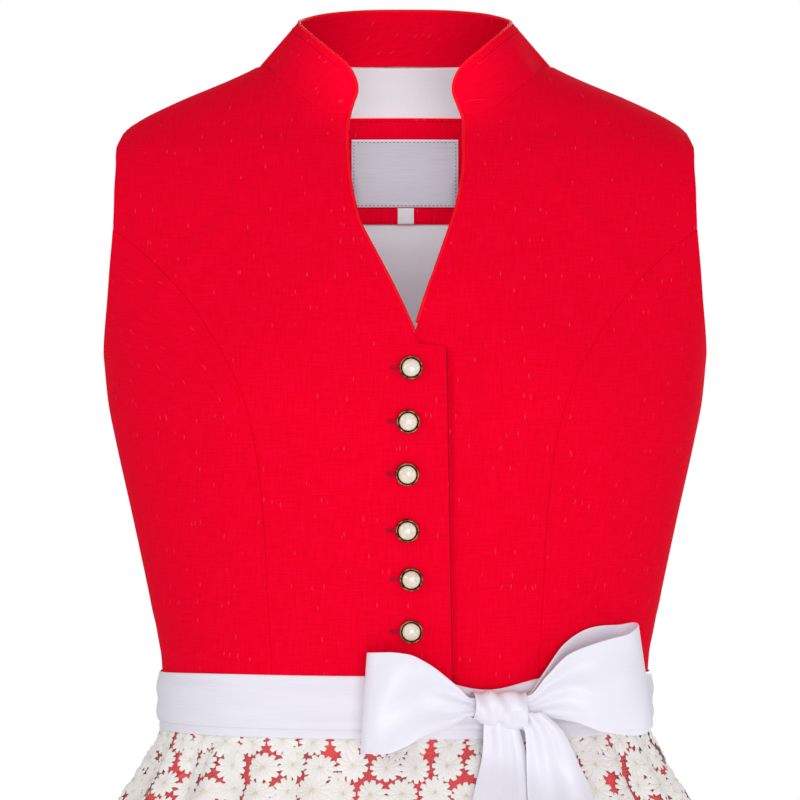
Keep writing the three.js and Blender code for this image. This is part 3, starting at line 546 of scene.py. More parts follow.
def woven_linen(name, thread_colour, shade_colour, light_colour, fleck_colour):
    """Plain-woven flax: matt, with thick and thin threads that show as faint lines and slubs.

    The real threads lie half a millimetre apart, which the picture can't show, so they are
    drawn coarser. A few slubs took less dye and stand out as small pink flecks.
    """
    material = new_material(name)
    cloth = add_node(material, "ShaderNodeUVMap", uv_map="cloth")
    warp = add_node(material, "ShaderNodeTexWave", {"Vector": cloth.outputs[0]},
                    {"Scale": WAVE_LENGTH / LINEN_THREAD, "Distortion": 0.5, "Detail": 1})
    weft = add_node(material, "ShaderNodeTexWave", {"Vector": cloth.outputs[0]},
                    {"Scale": WAVE_LENGTH / LINEN_THREAD, "Distortion": 0.5, "Detail": 1},
                    bands_direction="Y")
    weave = add_node(material, "ShaderNodeMath",
                     {0: warp.outputs["Fac"], 1: weft.outputs["Fac"]}, operation="MAXIMUM")
    across = add_node(material, "ShaderNodeMapping", {"Vector": cloth.outputs[0]},
                      {"Scale": (0.08, 1.1, 1)})
    down = add_node(material, "ShaderNodeMapping", {"Vector": cloth.outputs[0]},
                    {"Scale": (1.1, 0.08, 1)})
    slubs = add_node(material, "ShaderNodeTexNoise", {"Vector": across.outputs[0]},
                     {"Scale": 1, "Detail": 3, "Roughness": 0.6})
    ends = add_node(material, "ShaderNodeTexNoise", {"Vector": down.outputs[0]},
                    {"Scale": 1, "Detail": 3, "Roughness": 0.6})
    both = add_node(material, "ShaderNodeMath",
                    {0: slubs.outputs["Fac"], 1: ends.outputs["Fac"]}, operation="ADD")
    half = add_node(material, "ShaderNodeMath", {0: both.outputs[0]}, {1: 0.5},
                    operation="MULTIPLY")
    dyed = add_node(material, "ShaderNodeValToRGB", {"Fac": half.outputs[0]})
    dyed.color_ramp.elements[0].position = 0.4
    dyed.color_ramp.elements[0].color = linear(shade_colour)
    dyed.color_ramp.elements[1].position = 0.62
    dyed.color_ramp.elements[1].color = linear(light_colour)
    middle = dyed.color_ramp.elements.new(0.52)
    middle.color = linear(thread_colour)
    long = add_node(material, "ShaderNodeMapping", {"Vector": cloth.outputs[0]},
                    {"Scale": (0.5, 0.11, 1)})
    cells = add_node(material, "ShaderNodeTexVoronoi", {"Vector": long.outputs[0]},
                     {"Scale": 1, "Randomness": 1})
    centre = add_node(material, "ShaderNodeMapRange", {"Value": cells.outputs["Distance"]},
                      {"From Min": 0.17, "From Max": 0.08, "To Max": 0.2})
    chosen = add_node(material, "ShaderNodeMath", {0: cells.outputs["Color"]}, {1: 0.65},
                      operation="GREATER_THAN")
    flecks = add_node(material, "ShaderNodeMath", {0: centre.outputs[0], 1: chosen.outputs[0]},
                      operation="MULTIPLY")
    colour = add_node(material, "ShaderNodeMix", {0: flecks.outputs[0], 6: dyed.outputs[0]},
                      {7: linear(fleck_colour)}, data_type="RGBA")
    height = add_node(material, "ShaderNodeMath", {0: weave.outputs[0], 1: both.outputs[0]},
                      operation="ADD")
    bump = add_node(material, "ShaderNodeBump", {"Height": height.outputs[0]},
                    {"Strength": 0.04, "Distance": 0.0003})
    linen = add_node(material, "ShaderNodeBsdfPrincipled",
                     {"Base Color": colour.outputs[2], "Normal": bump.outputs[0]},
                     {"Roughness": 0.9, "Specular IOR Level": 0.03})
    return finish_material(material, linen)


def plain_lining():
    """Off-white cotton lining: a fine even weave, so it looks smooth with a soft shine."""
    material = new_material("cotton_lining")
    cloth = add_node(material, "ShaderNodeUVMap", uv_map="cloth")
    weave = add_node(material, "ShaderNodeTexNoise", {"Vector": cloth.outputs[0]},
                     {"Scale": 1.6, "Detail": 2})
    tone = add_node(material, "ShaderNodeValToRGB", {"Fac": weave.outputs["Fac"]})
    tone.color_ramp.elements[0].position = 0.3
    tone.color_ramp.elements[0].color = linear("#F0EFF6")
    tone.color_ramp.elements[1].position = 0.7
    tone.color_ramp.elements[1].color = linear("#F8F7FC")
    bump = add_node(material, "ShaderNodeBump", {"Height": weave.outputs["Fac"]},
                    {"Strength": 0.15, "Distance": 0.0002})
    cotton = add_node(material, "ShaderNodeBsdfPrincipled",
                      {"Base Color": tone.outputs[0], "Normal": bump.outputs[0]},
                      {"Roughness": 0.6, "Sheen Weight": 0.1})
    return finish_material(material, cotton)


linen = woven_linen("red_linen", "#F8002A", "#F10024", "#FB0233", "#FF7A94")
lining_cloth = plain_lining()


def armhole_reach(z, reach):
    """How far the armhole opens to the front or back at a height: it is a half oval."""
    middle = (ARMHOLE["top"] + ARMHOLE["bottom"]) / 2
    half = (ARMHOLE["top"] - ARMHOLE["bottom"]) / 2
    return reach * np.sqrt(np.maximum(0, 1 - ((z - middle) / half) ** 2))


def armhole_edge(z, reach, sign):
    return angle_at_y(sign * np.maximum(SEAM_HALF_GAP, armhole_reach(z, reach)), z)


def front_outer_edge(z):
    """The princess seam, or above its top the front of the armhole."""
    seam = angle_at_x(front_princess(z) - SEAM_HALF_GAP, z)
    armhole = armhole_edge(z, ARMHOLE["front"], -1)
    return np.minimum(seam, np.where(z < ARMHOLE["bottom"], math.pi, armhole))


def back_neck_half_width(z):
    rise = (z - NECK_SIDE_Z) / (BACK_NECK["z"] - NECK_SIDE_Z)
    return BACK_NECK["half_width"] * np.sqrt(np.clip(1 - rise * rise, 0, 1))


def back_outer_edge(z):
    """The princess seam, the back of the armhole, and above the shoulders the neck behind."""
    seam = angle_behind(back_princess(z) - SEAM_HALF_GAP, z)
    armhole = armhole_edge(z, ARMHOLE["back"], 1)
    below = np.maximum(seam, np.where(z < ARMHOLE["bottom"], 0, armhole))
    return np.where(z < NECK_SIDE_Z, below, angle_behind(back_neck_half_width(z), z))


def heights(low, high, spacing, *extra):
    """Heights of a panel's rows, close together at its ends and at any heights that are named."""
    count = max(2, int((high - low) / spacing))
    ends = [low + 0.4, low + 1, high - 1, high - 0.4]
    return np.unique(np.concatenate([steps(count, low, high), ends, extra]))


def panel_points(left, right, rows, columns):
    """A panel's points on the form, row by row, and which way is out at each."""
    z, s = np.meshgrid(rows, columns, indexing="ij")
    return frame_at(left(z) + (right(z) - left(z)) * s, z)


def straight_grain(points, left, middle):
    """Cloth coordinates whose upright threads keep to the line down the middle of a panel."""
    z = points[:, :1, 2]
    lead = form(middle + (left(z) - middle) * steps(24), z)
    start = arc_lengths(lead, 1)[:, -1:] * np.sign(left(z) - middle)
    across = start + arc_lengths(points, 1)
    down = arc_lengths(form(np.full(len(z), middle), z[:, 0]), 0)
    return np.stack(np.broadcast_arrays(across, down[:, None]), -1)


def bodice_panel(name, left, right, rows, columns, middle, inset=None, out=1, back=lining_cloth):
    """A panel between two edges, given as the angle at each height, red outside and lined inside."""
    points, outward = panel_points(left, right, rows, edged(columns))
    lift = creased(points, BODICE_CREASES)
    if inset is not None:
        lift = lift + inset(points)
    piece = cloth_wall(f"{name}_linen", points, lift - CLOTH / 2, lift + CLOTH / 2, linen, back,
                       out=out, turned=PANEL_TURNED, grain=straight_grain(points, left, middle),
                       normal=outward)
    stands_for(name)


def right_front_inner_edge(z):
    """The lap's edge below, then the edge of the V, then the neck seam."""
    lapped = angle_at_x(lap_edge(z), z)
    v_edge = angle_at_x(right_v_edge(z), z)
    opened = np.where(z <= NECK_FRONT_Z, v_edge, angle_at_x(-neck_seam(z), z))
    return np.where(z <= LAP_TOP_Z, lapped, opened)


def left_front_inner_edge(z):
    """The underlap's edge and the V, then the neck seam."""
    v_edge = angle_at_x(left_v_edge(z), z)
    return np.where(z <= NECK_FRONT_Z, v_edge, angle_at_x(neck_seam(z), z))


def underlap(points):
    """How far the left front is sunk under the lap."""
    x, z = points[..., 0], points[..., 2]
    share = 1 - smooth(x, UNDERLAP["from"], UNDERLAP["to"])
    across = (x - lap_edge(z) - PRESSED_IN["beside"]) / PRESSED_IN["width"]
    pressed = PRESSED_IN["depth"] * np.exp(-across ** 2)
    pressed = pressed * (1 - smooth(z, PRESSED_IN["low"], PRESSED_IN["high"]))
    return -UNDERLAP["inset"] * share * (1 - smooth(z, UNDERLAP["low"], UNDERLAP["high"])) - pressed


front_rows = heights(WAIST_SEAM_Z, FRONT_TOP_Z, PANEL_ROW, LAP_TOP_Z, RIGHT_V_EDGE[0]["z"],
                     FRONT_PRINCESS_TOP_Z, *COLLAR_END_ROWS)
bodice_panel("front_right", lambda z: -front_outer_edge(z), right_front_inner_edge, front_rows,
             columns=44, middle=0)
bodice_panel("front_left", left_front_inner_edge, front_outer_edge, front_rows, columns=80,
             middle=0, inset=underlap)
side_front_rows = heights(WAIST_SEAM_Z, FRONT_PRINCESS_TOP_Z, PANEL_ROW, *ARMHOLE_FOOT_ROWS)
side_back_rows = heights(WAIST_SEAM_Z, BACK_PRINCESS_TOP_Z, PANEL_ROW, *ARMHOLE_FOOT_ROWS)
for side, sign in (("left", 1), ("right", -1)):
    bodice_panel(f"side_front_{side}",
                 lambda z: sign * angle_at_x(front_princess(z) + SEAM_HALF_GAP, z),
                 lambda z: sign * armhole_edge(z, ARMHOLE["front"], -1),
                 side_front_rows, columns=22, middle=sign * SIDE_FRONT_MIDDLE, out=sign)
    bodice_panel(f"side_back_{side}",
                 lambda z: sign * armhole_edge(z, ARMHOLE["back"], 1),
                 lambda z: sign * angle_behind(back_princess(z) + SEAM_HALF_GAP, z),
                 side_back_rows, columns=22, middle=sign * SIDE_BACK_MIDDLE, out=sign)
back_rows = heights(WAIST_SEAM_Z, BACK_TOP_Z, PANEL_ROW, BACK_PRINCESS_TOP_Z, NECK_SIDE_Z,
                    *steps(**BACK_NECK_ROWS))
bodice_panel("back", back_outer_edge, lambda z: 2 * math.pi - back_outer_edge(z), back_rows,
             columns=64, middle=math.pi)

# The back is lined in off-white cotton. A strip of the red linen is sewn across it below the
# neck, with a bare satin label on it and a small folded size tag under the label.
THIN_CLOTH = 1.0
LINING_GAP = 1.5
LAYER_GAP = 0.7
LINING_LOW_Z = -318
LINING_TOP_Z = 22.6
LINING_INSET = {"armhole": 0.6, "underarm": 2.6, "neck": 2}
LINING_NECK_ROWS = {"count": 8, "low": 18.2, "high": 22.2}
lining_outer = -CLOTH / 2 - LINING_GAP
lining_inner = lining_outer - THIN_CLOTH
LABEL_STRIP = {"half_width": 72, "top": -4, "bottom": -62.4}
LABEL = {"half_width": 30, "top": -14, "bottom": -52.4}
TAG = {"left": 5, "right": -4, "top": -52.8, "bottom": -61.8}


def lining_edge(z):
    """The side of the lining, just inside the armhole and the neck."""
    armhole = armhole_reach(z, ARMHOLE["back"]) + LINING_INSET["armhole"]
    below = angle_at_y(np.maximum(LINING_INSET["underarm"], armhole), z)
    neck = angle_behind(back_neck_half_width(z) - LINING_INSET["neck"], z)
    return np.where(z < NECK_SIDE_Z, below, neck)


def woven_satin(name, base, shade, roughness, sheen, gloss=0.5):
    """Satin: long floating threads lie side by side, so it shines softly and shows faint ribs."""
    material = new_material(name)
    cloth = add_node(material, "ShaderNodeUVMap", uv_map="cloth")
    floats = add_node(material, "ShaderNodeMapping", {"Vector": cloth.outputs[0]},
                      {"Scale": (0.05, 1.4, 1)})
    threads = add_node(material, "ShaderNodeTexNoise", {"Vector": floats.outputs[0]},
                       {"Scale": 1, "Detail": 2})
    tone = add_node(material, "ShaderNodeValToRGB", {"Fac": threads.outputs["Fac"]})
    tone.color_ramp.elements[0].position = 0.3
    tone.color_ramp.elements[0].color = linear(shade)
    tone.color_ramp.elements[1].position = 0.65
    tone.color_ramp.elements[1].color = linear(base)
    bump = add_node(material, "ShaderNodeBump", {"Height": threads.outputs["Fac"]},
                    {"Strength": 0.012, "Distance": 0.0002})
    shine = add_node(material, "ShaderNodeBsdfPrincipled",
                     {"Base Color": tone.outputs[0], "Normal": bump.outputs[0]},
                     {"Roughness": roughness, "Sheen Weight": sheen, "Sheen Roughness": 0.3,
                      "Specular IOR Level": gloss})
    return finish_material(material, shine)


label_satin = woven_satin("label_satin", "#DEDDE8", "#D5D4E0", 0.35, 0.1)
tag_tape = woven_satin("tag_tape", "#F4F4F6", "#E6E6EA", 0.5, 0.05)
lining_rows = heights(LINING_LOW_Z, LINING_TOP_Z, 5, *ARMHOLE_FOOT_ROWS, NECK_SIDE_Z,
                      *steps(**LINING_NECK_ROWS))
# Where the lining was pressed in folds, it keeps soft ridges across the back.
LINING_CREASES = [
    {"x": 0, "z": 3, "turn": 1, "length": 60, "width": 5, "height": 0.5, "front": False},
    {"x": 8, "z": 11, "turn": -2, "length": 50, "width": 7, "height": 0.25, "front": False},
    {"x": -4, "z": -84, "turn": 3, "length": 70, "width": 9, "height": 0.6, "front": False},
]
lining_points, lining_outward = panel_points(lining_edge, lambda z: 2 * math.pi - lining_edge(z),
                                             lining_rows, edged(60))
lining_lift = creased(lining_points, LINING_CREASES)
lining_back = cloth_wall("back_lining", lining_points, lining_inner + lining_lift,
                         lining_outer + lining_lift, lining_cloth, turned=0.3,
                         normal=lining_outward)
stands_for("lining_back")


def sewn_inside(name, node, left, right, top, bottom, below, face, columns):
    """A flat piece sewn to the inside of the back, one layer gap below what it lies on."""
    outer = below - LAYER_GAP
    points, outward = panel_points(lambda z: angle_behind(left, z), lambda z: angle_behind(right, z),
                                   heights(bottom, top, 2), edged(columns))
    piece = cloth_wall(name, points, outer - THIN_CLOTH, outer, face, normal=outward)
    stands_for(node)
    return piece


on_strip = lining_inner - LAYER_GAP - THIN_CLOTH
label_strip = sewn_inside("red_strip", "label_strip", LABEL_STRIP["half_width"],
                          -LABEL_STRIP["half_width"], LABEL_STRIP["top"], LABEL_STRIP["bottom"],
                          lining_inner, linen, 40)
label = sewn_inside("bare_label", "label", LABEL["half_width"],
                    -LABEL["half_width"], LABEL["top"], LABEL["bottom"], on_strip, label_satin, 30)
size_tag = sewn_inside("folded_tag", "size_tag", TAG["left"], TAG["right"],
                       TAG["top"], TAG["bottom"], on_strip, tag_tape, 8)

# Rows of machine sewing hold the strip along its two long edges and the label all round. The
# threads are spun polyester, dark red and grey, and show as short dashes half sunk in the cloth.
STITCH_SIDES = 6
STRIP_STITCHES = {"spacing": 2.6, "length": 1.5, "radius": 0.2}
LABEL_STITCHES = {"spacing": 2.2, "length": 1.0, "radius": 0.2}
STRIP_STITCH_INSET = 1.4
LABEL_STITCH_INSET = 1.3


def sewing_thread(name, colour, shade):
    """Spun polyester thread: two twisted strands, so it is slightly uneven and a little shiny."""
    material = new_material(name)
    place = add_node(material, "ShaderNodeTexCoord")
    twist = add_node(material, "ShaderNodeTexNoise", {"Vector": place.outputs["Object"]},
                     {"Scale": 1500})
    tone = add_node(material, "ShaderNodeValToRGB", {"Fac": twist.outputs["Fac"]})
    tone.color_ramp.elements[0].color = linear(shade)
    tone.color_ramp.elements[1].color = linear(colour)
    thread = add_node(material, "ShaderNodeBsdfPrincipled", {"Base Color": tone.outputs[0]},
                      {"Roughness": 0.7, "Specular IOR Level": 0.08})
    return finish_material(material, thread)


def stitch_row(name, slot, route, outward, spacing, length, radius, material):
    """Short dashes of thread along a route, half sunk in the cloth."""
    along = arc_lengths(route, 0)
    starts = (np.arange(int(along[-1] / spacing)) + 0.3) * spacing
    rings_at = np.array([0, 0.2, 0.8, 1])
    places = starts[:, None] + rings_at * length
    centre = np.stack([np.interp(places, along, route[:, k]) for k in range(3)], -1)
    up = np.stack([np.interp(places, along, outward[:, k]) for k in range(3)], -1)
    forward = centre[:, -1:] - centre[:, :1]
    side = np.cross(forward / np.linalg.norm(forward, axis=-1, keepdims=True), up)
    turn = np.linspace(0, 2 * math.pi, STITCH_SIDES, endpoint=False)
    size = radius * np.array([0.35, 1, 1, 0.35])[:, None, None]
    rings = centre[..., None, :] + size * (up[..., None, :] * np.cos(turn)[:, None]
                                           + side[..., None, :] * np.sin(turn)[:, None])
    per = len(rings_at) * STITCH_SIDES
    pattern = []
    for j in range(len(rings_at) - 1):
        for i in range(STITCH_SIDES):
            near, far = j * STITCH_SIDES + i, j * STITCH_SIDES + (i + 1) % STITCH_SIDES
            pattern.append([near, far, far + STITCH_SIDES, near + STITCH_SIDES])
    pattern += [list(range(STITCH_SIDES))[::-1], list(range(per - STITCH_SIDES, per))]
    faces = [[k * per + corner for corner in face] for k in range(len(starts)) for face in pattern]
    piece = new_piece(name, rings.reshape(-1, 3), faces, [material])
    return piece


def inside_route(corners, depth):
    """A route over the inside of the back, through corners given as x and height."""
    corners = np.array(corners, float)
    share = np.linspace(0, len(corners) - 1, 60 * (len(corners) - 1) + 1)
    x, z = (np.interp(share, range(len(corners)), corners[:, k]) for k in (0, 1))
    point, outward = frame_at(angle_behind(x, z), z)
    return point + outward * depth, -outward


# The faces of the strip and of the label, with the middle of the thread just outside them.
strip_face = on_strip - 0.05
label_face = on_strip - LAYER_GAP - THIN_CLOTH - 0.02
grey_thread = sewing_thread("grey_thread", "#5A5660", "#35323A")
red_thread = sewing_thread("dark_red_thread", "#A80A2C", "#70001C")
strip_x = LABEL_STRIP["half_width"] - 3
for edge, height in (("top", LABEL_STRIP["top"] - STRIP_STITCH_INSET),
                     ("low", LABEL_STRIP["bottom"] + STRIP_STITCH_INSET)):
    stitch_row(f"strip_{edge}_stitches", "linen",
               *inside_route([(strip_x, height), (-strip_x, height)], strip_face),
               **STRIP_STITCHES, material=red_thread)
label_x = LABEL["half_width"] - LABEL_STITCH_INSET
label_top = LABEL["top"] - LABEL_STITCH_INSET
label_low = LABEL["bottom"] + LABEL_STITCH_INSET
stitch_row("label_stitches", "label_satin",
           *inside_route([(label_x, label_top), (-label_x, label_top), (-label_x, label_low),
                          (label_x, label_low), (label_x, label_top)], label_face),
           **LABEL_STITCHES, material=grey_thread)

# The stand collar is a doubled band of the same linen, red inside and out. It is sewn into the
# neck seam, leans in towards the neck and is rounded at its two front ends.
COLLAR_THICKNESS = 2
# In front of the shoulder its seam lies on the bodice. Behind, its lower edge is tucked inside
# the neck seam, and it reaches out to the shoulder seams.
COLLAR_MEETS_FRONT = {"low": 0.6, "high": 0.74}
COLLAR_TUCK = {"share": 0.06, "low": 0.62, "high": 0.76}
SHOULDER_REACH = {"s": 0.54, "width": 0.1, "out": 3.6}
TOPSTITCH_T = 0.86
TOPSTITCHES = {"spacing": 2.6, "length": 1.6, "radius": 0.22}
collar_top = {c: reader(COLLAR, "s", f"top_{c}") for c in "xyz"}
back_seam_y = reader([row for row in COLLAR if "seam_y" in row], "s", "seam_y")


def collar_surface(s, t):
    """The middle of the collar's cloth: s runs round the neck, t from the seam to the top."""
    share = np.abs(s)
    seam_x, seam_z = collar_seam["x"](share), collar_seam["z"](share)
    on_form = form(angle_at_x(seam_x, seam_z), seam_z)[..., 1]
    from_shoulder = (share - SHOULDER_REACH["s"]) / SHOULDER_REACH["width"]
    seam_x = seam_x + SHOULDER_REACH["out"] * np.exp(-from_shoulder ** 2)
    blend = smooth(share, COLLAR_MEETS_FRONT["low"], COLLAR_MEETS_FRONT["high"])
    seam_y = back_seam_y(share) * (1 - blend) + on_form * blend
    seam = np.stack([np.sign(s) * seam_x, seam_y, seam_z], -1)
    top = np.stack([np.sign(s) * collar_top["x"](share), collar_top["y"](share),
                    collar_top["z"](share)], -1)
    return seam + (top - seam) * np.asarray(t)[..., None]


collar_t, collar_s = np.meshgrid(edged(14), steps(220, -1, 1), indexing="ij")
tucked = 1 - smooth(np.abs(collar_s), COLLAR_TUCK["low"], COLLAR_TUCK["high"])
collar_t = collar_t - COLLAR_TUCK["share"] * tucked * (1 - collar_t)
collar = cloth_wall("stand_collar", collar_surface(collar_s, collar_t), -COLLAR_THICKNESS / 2,
                    COLLAR_THICKNESS / 2, linen, turned=0.4)
stands_for("collar")
stitch_s = steps(400, -0.93, 0.93)
stitch_line = collar_surface(stitch_s, np.full(len(stitch_s), TOPSTITCH_T))
stitch_along = np.gradient(stitch_line, axis=0)
stitch_rise = collar_surface(stitch_s, np.full(len(stitch_s), 0.9)) - stitch_line
stitch_out = np.cross(stitch_along, stitch_rise)
stitch_out /= np.linalg.norm(stitch_out, axis=1, keepdims=True)
stitch_row("collar_stitches", "linen", stitch_line - stitch_out * (COLLAR_THICKNESS / 2 + 0.02),
           -stitch_out, **TOPSTITCHES, material=red_thread)

# A thin cord covered in red satin is sewn into the edge of the V and round the collar's top.
# It stands just proud of the edge and catches the light as a bright line.
PIPING_RADIUS = 0.95
PIPING_OFFSET = 0.6
RIGHT_PIPING_FOOT_Z = -126
V_PIPING_Z = [-14, -24, -35, -43, -52, -62, -71, -90, -106]
# On the left front it runs on under the lap: its heights, and how far it is sunk at each.
SUNK_PIPING = ((-106, 0.1), (-113, 1.3), (-121, 2.3))
COLLAR_PIPING = [0.18, 0.36, 0.52, 0.62, 0.74, 0.86, 0.94, 0.98, 1]


def edge_point(edge, sign, z, sunk=0):
    """A point of the piping, just proud of the V's edge."""
    point, outward = frame_at(angle_at_x(edge(z) - sign * PIPING_OFFSET, z), z)
    return point - outward * sunk


def collar_edge_point(s):
    top = collar_surface(s, 1.0)
    along = collar_surface(s + 0.005, 1.0) - collar_surface(s - 0.005, 1.0)
    along = along / np.linalg.norm(along)
    up = top - collar_surface(s, 0.9)
    up = up - along * (up @ along)
    return top + up / np.linalg.norm(up) * PIPING_OFFSET


def collar_end_point(sign):
    end = collar_surface(float(sign), 0.45)
    end[0] -= sign * PIPING_OFFSET
    return end


def smooth_route(points, count):
    """Points close together along a curve through the given ones."""
    points = np.asarray(points)
    padded = np.concatenate([2 * points[:1] - points[1:2], points, 2 * points[-1:] - points[-2:-1]])
    place = np.linspace(0, len(points) - 1.000001, count)
    i = place.astype(int)
    t = (place - i)[:, None]
    a, b, c, d = padded[i], padded[i + 1], padded[i + 2], padded[i + 3]
    return 0.5 * (2 * b + (c - a) * t + (2 * a - 5 * b + 4 * c - d) * t ** 2
                  + (3 * b - a - 3 * c + d) * t ** 3)


def cord_piece(name, route, radius, material, sides=10):
    """A round cord along a route, closed at both ends."""
    along = np.gradient(route, axis=0)
    along /= np.linalg.norm(along, axis=1, keepdims=True)
    guide = np.cross(along, (0.31, 0.2, 0.93))
    guide /= np.linalg.norm(guide, axis=1, keepdims=True)
    other = np.cross(along, guide)
    turn = np.linspace(0, 2 * math.pi, sides, endpoint=False)
    size = radius * np.ones(len(route))
    size[0] = size[-1] = radius * 0.4
    rings = route[:, None] + size[:, None, None] * (
        guide[:, None] * np.cos(turn)[None, :, None] + other[:, None] * np.sin(turn)[None, :, None])
    j, i = np.meshgrid(np.arange(len(route) - 1), np.arange(sides), indexing="ij")
    near, far = j * sides + i, j * sides + (i + 1) % sides
    faces = np.stack([near, far, far + sides, near + sides], -1).reshape(-1, 4).tolist()
    faces += [list(range(sides))[::-1], list(range((len(route) - 1) * sides, len(route) * sides))]
    length = arc_lengths(route, 0)
    uvs = np.stack(np.broadcast_arrays(length[:, None], turn[None] * radius), -1).reshape(-1, 2)
    return new_piece(name, rings.reshape(-1, 3), faces, [material], None, uvs)


piping_satin = woven_satin("red_piping_satin", "#FF0A26", "#FA001C", 0.5, 0.0, 0.1)
piping_knots = [edge_point(right_v_edge, -1, RIGHT_PIPING_FOOT_Z)]
piping_knots += [edge_point(right_v_edge, -1, z) for z in reversed(V_PIPING_Z)]
piping_knots += [collar_end_point(-1)]
piping_knots += [collar_edge_point(-s) for s in reversed(COLLAR_PIPING)]
piping_knots += [collar_edge_point(s) for s in [0.0] + COLLAR_PIPING]
piping_knots += [collar_end_point(1)]
piping_knots += [edge_point(left_v_edge, 1, z) for z in V_PIPING_Z[:-1]]
piping_knots += [edge_point(left_v_edge, 1, z, sunk) for z, sunk in SUNK_PIPING]
neck_piping = cord_piece("piped_edge", smooth_route(piping_knots, 420), PIPING_RADIUS, piping_satin)
stands_for("neck_piping")

# The skirt is the same linen, cut far wider than the waist and gathered into the waist seam, so
# that it falls in deep uneven folds. It is in a front and a back, joined at the sides.
HEM_Z = -966
GATHERS_Z = -337
SKIRT_TOP_Z = -321.3
FOLD_COLUMNS = 110
side_column = round(FOLD_COLUMNS / 4)
side_angle = side_column * 2 * math.pi / FOLD_COLUMNS
SIDE_SEAM_HALF = 0.0004
SKIRT_COLUMNS = 216
skirt_rows = np.unique(np.concatenate([steps(68, HEM_Z, GATHERS_Z - 1),
                                       steps(6, GATHERS_Z, SKIRT_TOP_Z)]))


def skirt_half(name, low, high):
    """Half of the skirt, whose threads lie close at the gathers and true at the hem."""
    z, angle = np.meshgrid(skirt_rows, steps(SKIRT_COLUMNS, low, high), indexing="ij")
    points = form(angle, z)
    across = np.broadcast_to(arc_lengths(points[:1], 1), z.shape)
    grain = np.stack([across, arc_lengths(points, 0)], -1)
    return cloth_wall(name, points, -CLOTH / 2, CLOTH / 2, linen, grain=grain)


skirt_front = skirt_half("front_skirt_linen", -side_angle + SIDE_SEAM_HALF,
                         side_angle - SIDE_SEAM_HALF)
skirt_back = skirt_half("back_skirt_linen", side_angle + SIDE_SEAM_HALF,
                        2 * math.pi - side_angle - SIDE_SEAM_HALF)
stands_for("skirt_front")
stands_for("skirt_back")

# The apron is lace: ivory daisies worked on a fine net, which lets the red skirt show through.
# It is gathered into its band and lies on the skirt, fold for fold.
SEAM_GAP = 0.3
APRON_TOP_Z = -337
APRON_HEM_Z = -930
APRON_HALF_COLUMNS = 40
APRON_COLUMNS = 250
NET_THICKNESS = 0.3
GATHER = {"count": 55, "depth": 1.6, "fade_below": 70}
APRON_INNER = CLOTH / 2 + SEAM_GAP
apron_end = APRON_HALF_COLUMNS * 2 * math.pi / FOLD_COLUMNS


def gather(angle, z):
    """How far the small gathers under the band stand out. They fade as the lace falls."""
    fade = 1 - smooth(APRON_TOP_Z - z, 0, GATHER["fade_below"])
    wave = 0.5 + 0.5 * np.cos(GATHER["count"] * angle)
    return GATHER["depth"] * fade * wave * smooth(APRON_TOP_Z - z, 0, 12)


def fine_tulle():
    """Net of fine ivory thread: mostly holes, so it only veils the red below it.

    The real holes are a millimetre wide. They are drawn half as wide again, to show at all.
    """
    material = new_material("ivory_tulle")
    cloth = add_node(material, "ShaderNodeUVMap", uv_map="cloth")
    holes = add_node(material, "ShaderNodeTexVoronoi", {"Vector": cloth.outputs[0]},
                     {"Scale": 0.65, "Randomness": 0.35}, feature="DISTANCE_TO_EDGE")
    mesh_lines = add_node(material, "ShaderNodeValToRGB", {"Fac": holes.outputs["Distance"]})
    mesh_lines.color_ramp.elements[0].position = 0.06
    mesh_lines.color_ramp.elements[0].color = (0.13, 0.13, 0.13, 1)
    mesh_lines.color_ramp.elements[1].position = 0.25
    mesh_lines.color_ramp.elements[1].color = (0, 0, 0, 1)
    thread = add_node(material, "ShaderNodeBsdfPrincipled", None,
                      {"Base Color": linear("#F3E9E2"), "Roughness": 0.8, "Sheen Weight": 0.2})
    clear = add_node(material, "ShaderNodeBsdfTransparent")
    net = add_node(material, "ShaderNodeMixShader",
                   {0: mesh_lines.outputs[0], 1: clear.outputs[0], 2: thread.outputs[0]})
    return finish_material(material, net)


tulle = fine_tulle()
apron_z, apron_angle = np.meshgrid(
    np.unique(np.concatenate([steps(60, APRON_HEM_Z, APRON_TOP_Z - 3),
                              steps(3, APRON_TOP_Z - 3, APRON_TOP_Z + 1.2)])),
    steps(APRON_COLUMNS, -apron_end, apron_end), indexing="ij")
apron_lift = gather(apron_angle, apron_z)
apron = cloth_wall("apron_net", form(apron_angle, apron_z), APRON_INNER + apron_lift,
                   APRON_INNER + NET_THICKNESS + apron_lift, tulle)
stands_for("apron")

# The daisies are embroidered on the net in ivory cotton: narrow raised petals round a small
# yellow-green eye. They stand in close rows, with smaller ones between some of them. Each is
# turned, shifted and sized by chance, as the loops of a real lace never come out alike.
DAISY = {"across": 17.2, "petals": 12, "pitch": 16.4, "row_pitch": 14.4, "small_share": 0.4}
SMALL_DAISY = {"size": 0.58, "below_row": 0.42}
SCATTER = {"along": 1.9, "down": 1.5, "smallest": 0.88, "largest": 1.08, "raised": 0.35}
DAISY_MARGIN = {"end": 6, "hem": 8, "small_hem": 14}
EYE = {"sides": 6, "share": 0.12, "edge_up": 0.5, "top_up": 0.9}
# A petal's points: how far out, how much of its width to the side, and how far they stand up.
PETAL = [
    (0.02, 0, 0.45), (0.74, -1.003, 0.2), (0.74, 0, 0.9), (0.74, 1.003, 0.2),
    (0.99, -0.48, 0.1), (0.99, 0.48, 0.1),
]
PETAL_FACES = [(0, 1, 2), (0, 2, 3), (1, 4, 2), (2, 4, 5), (2, 5, 3)]
random = np.random.default_rng(7)


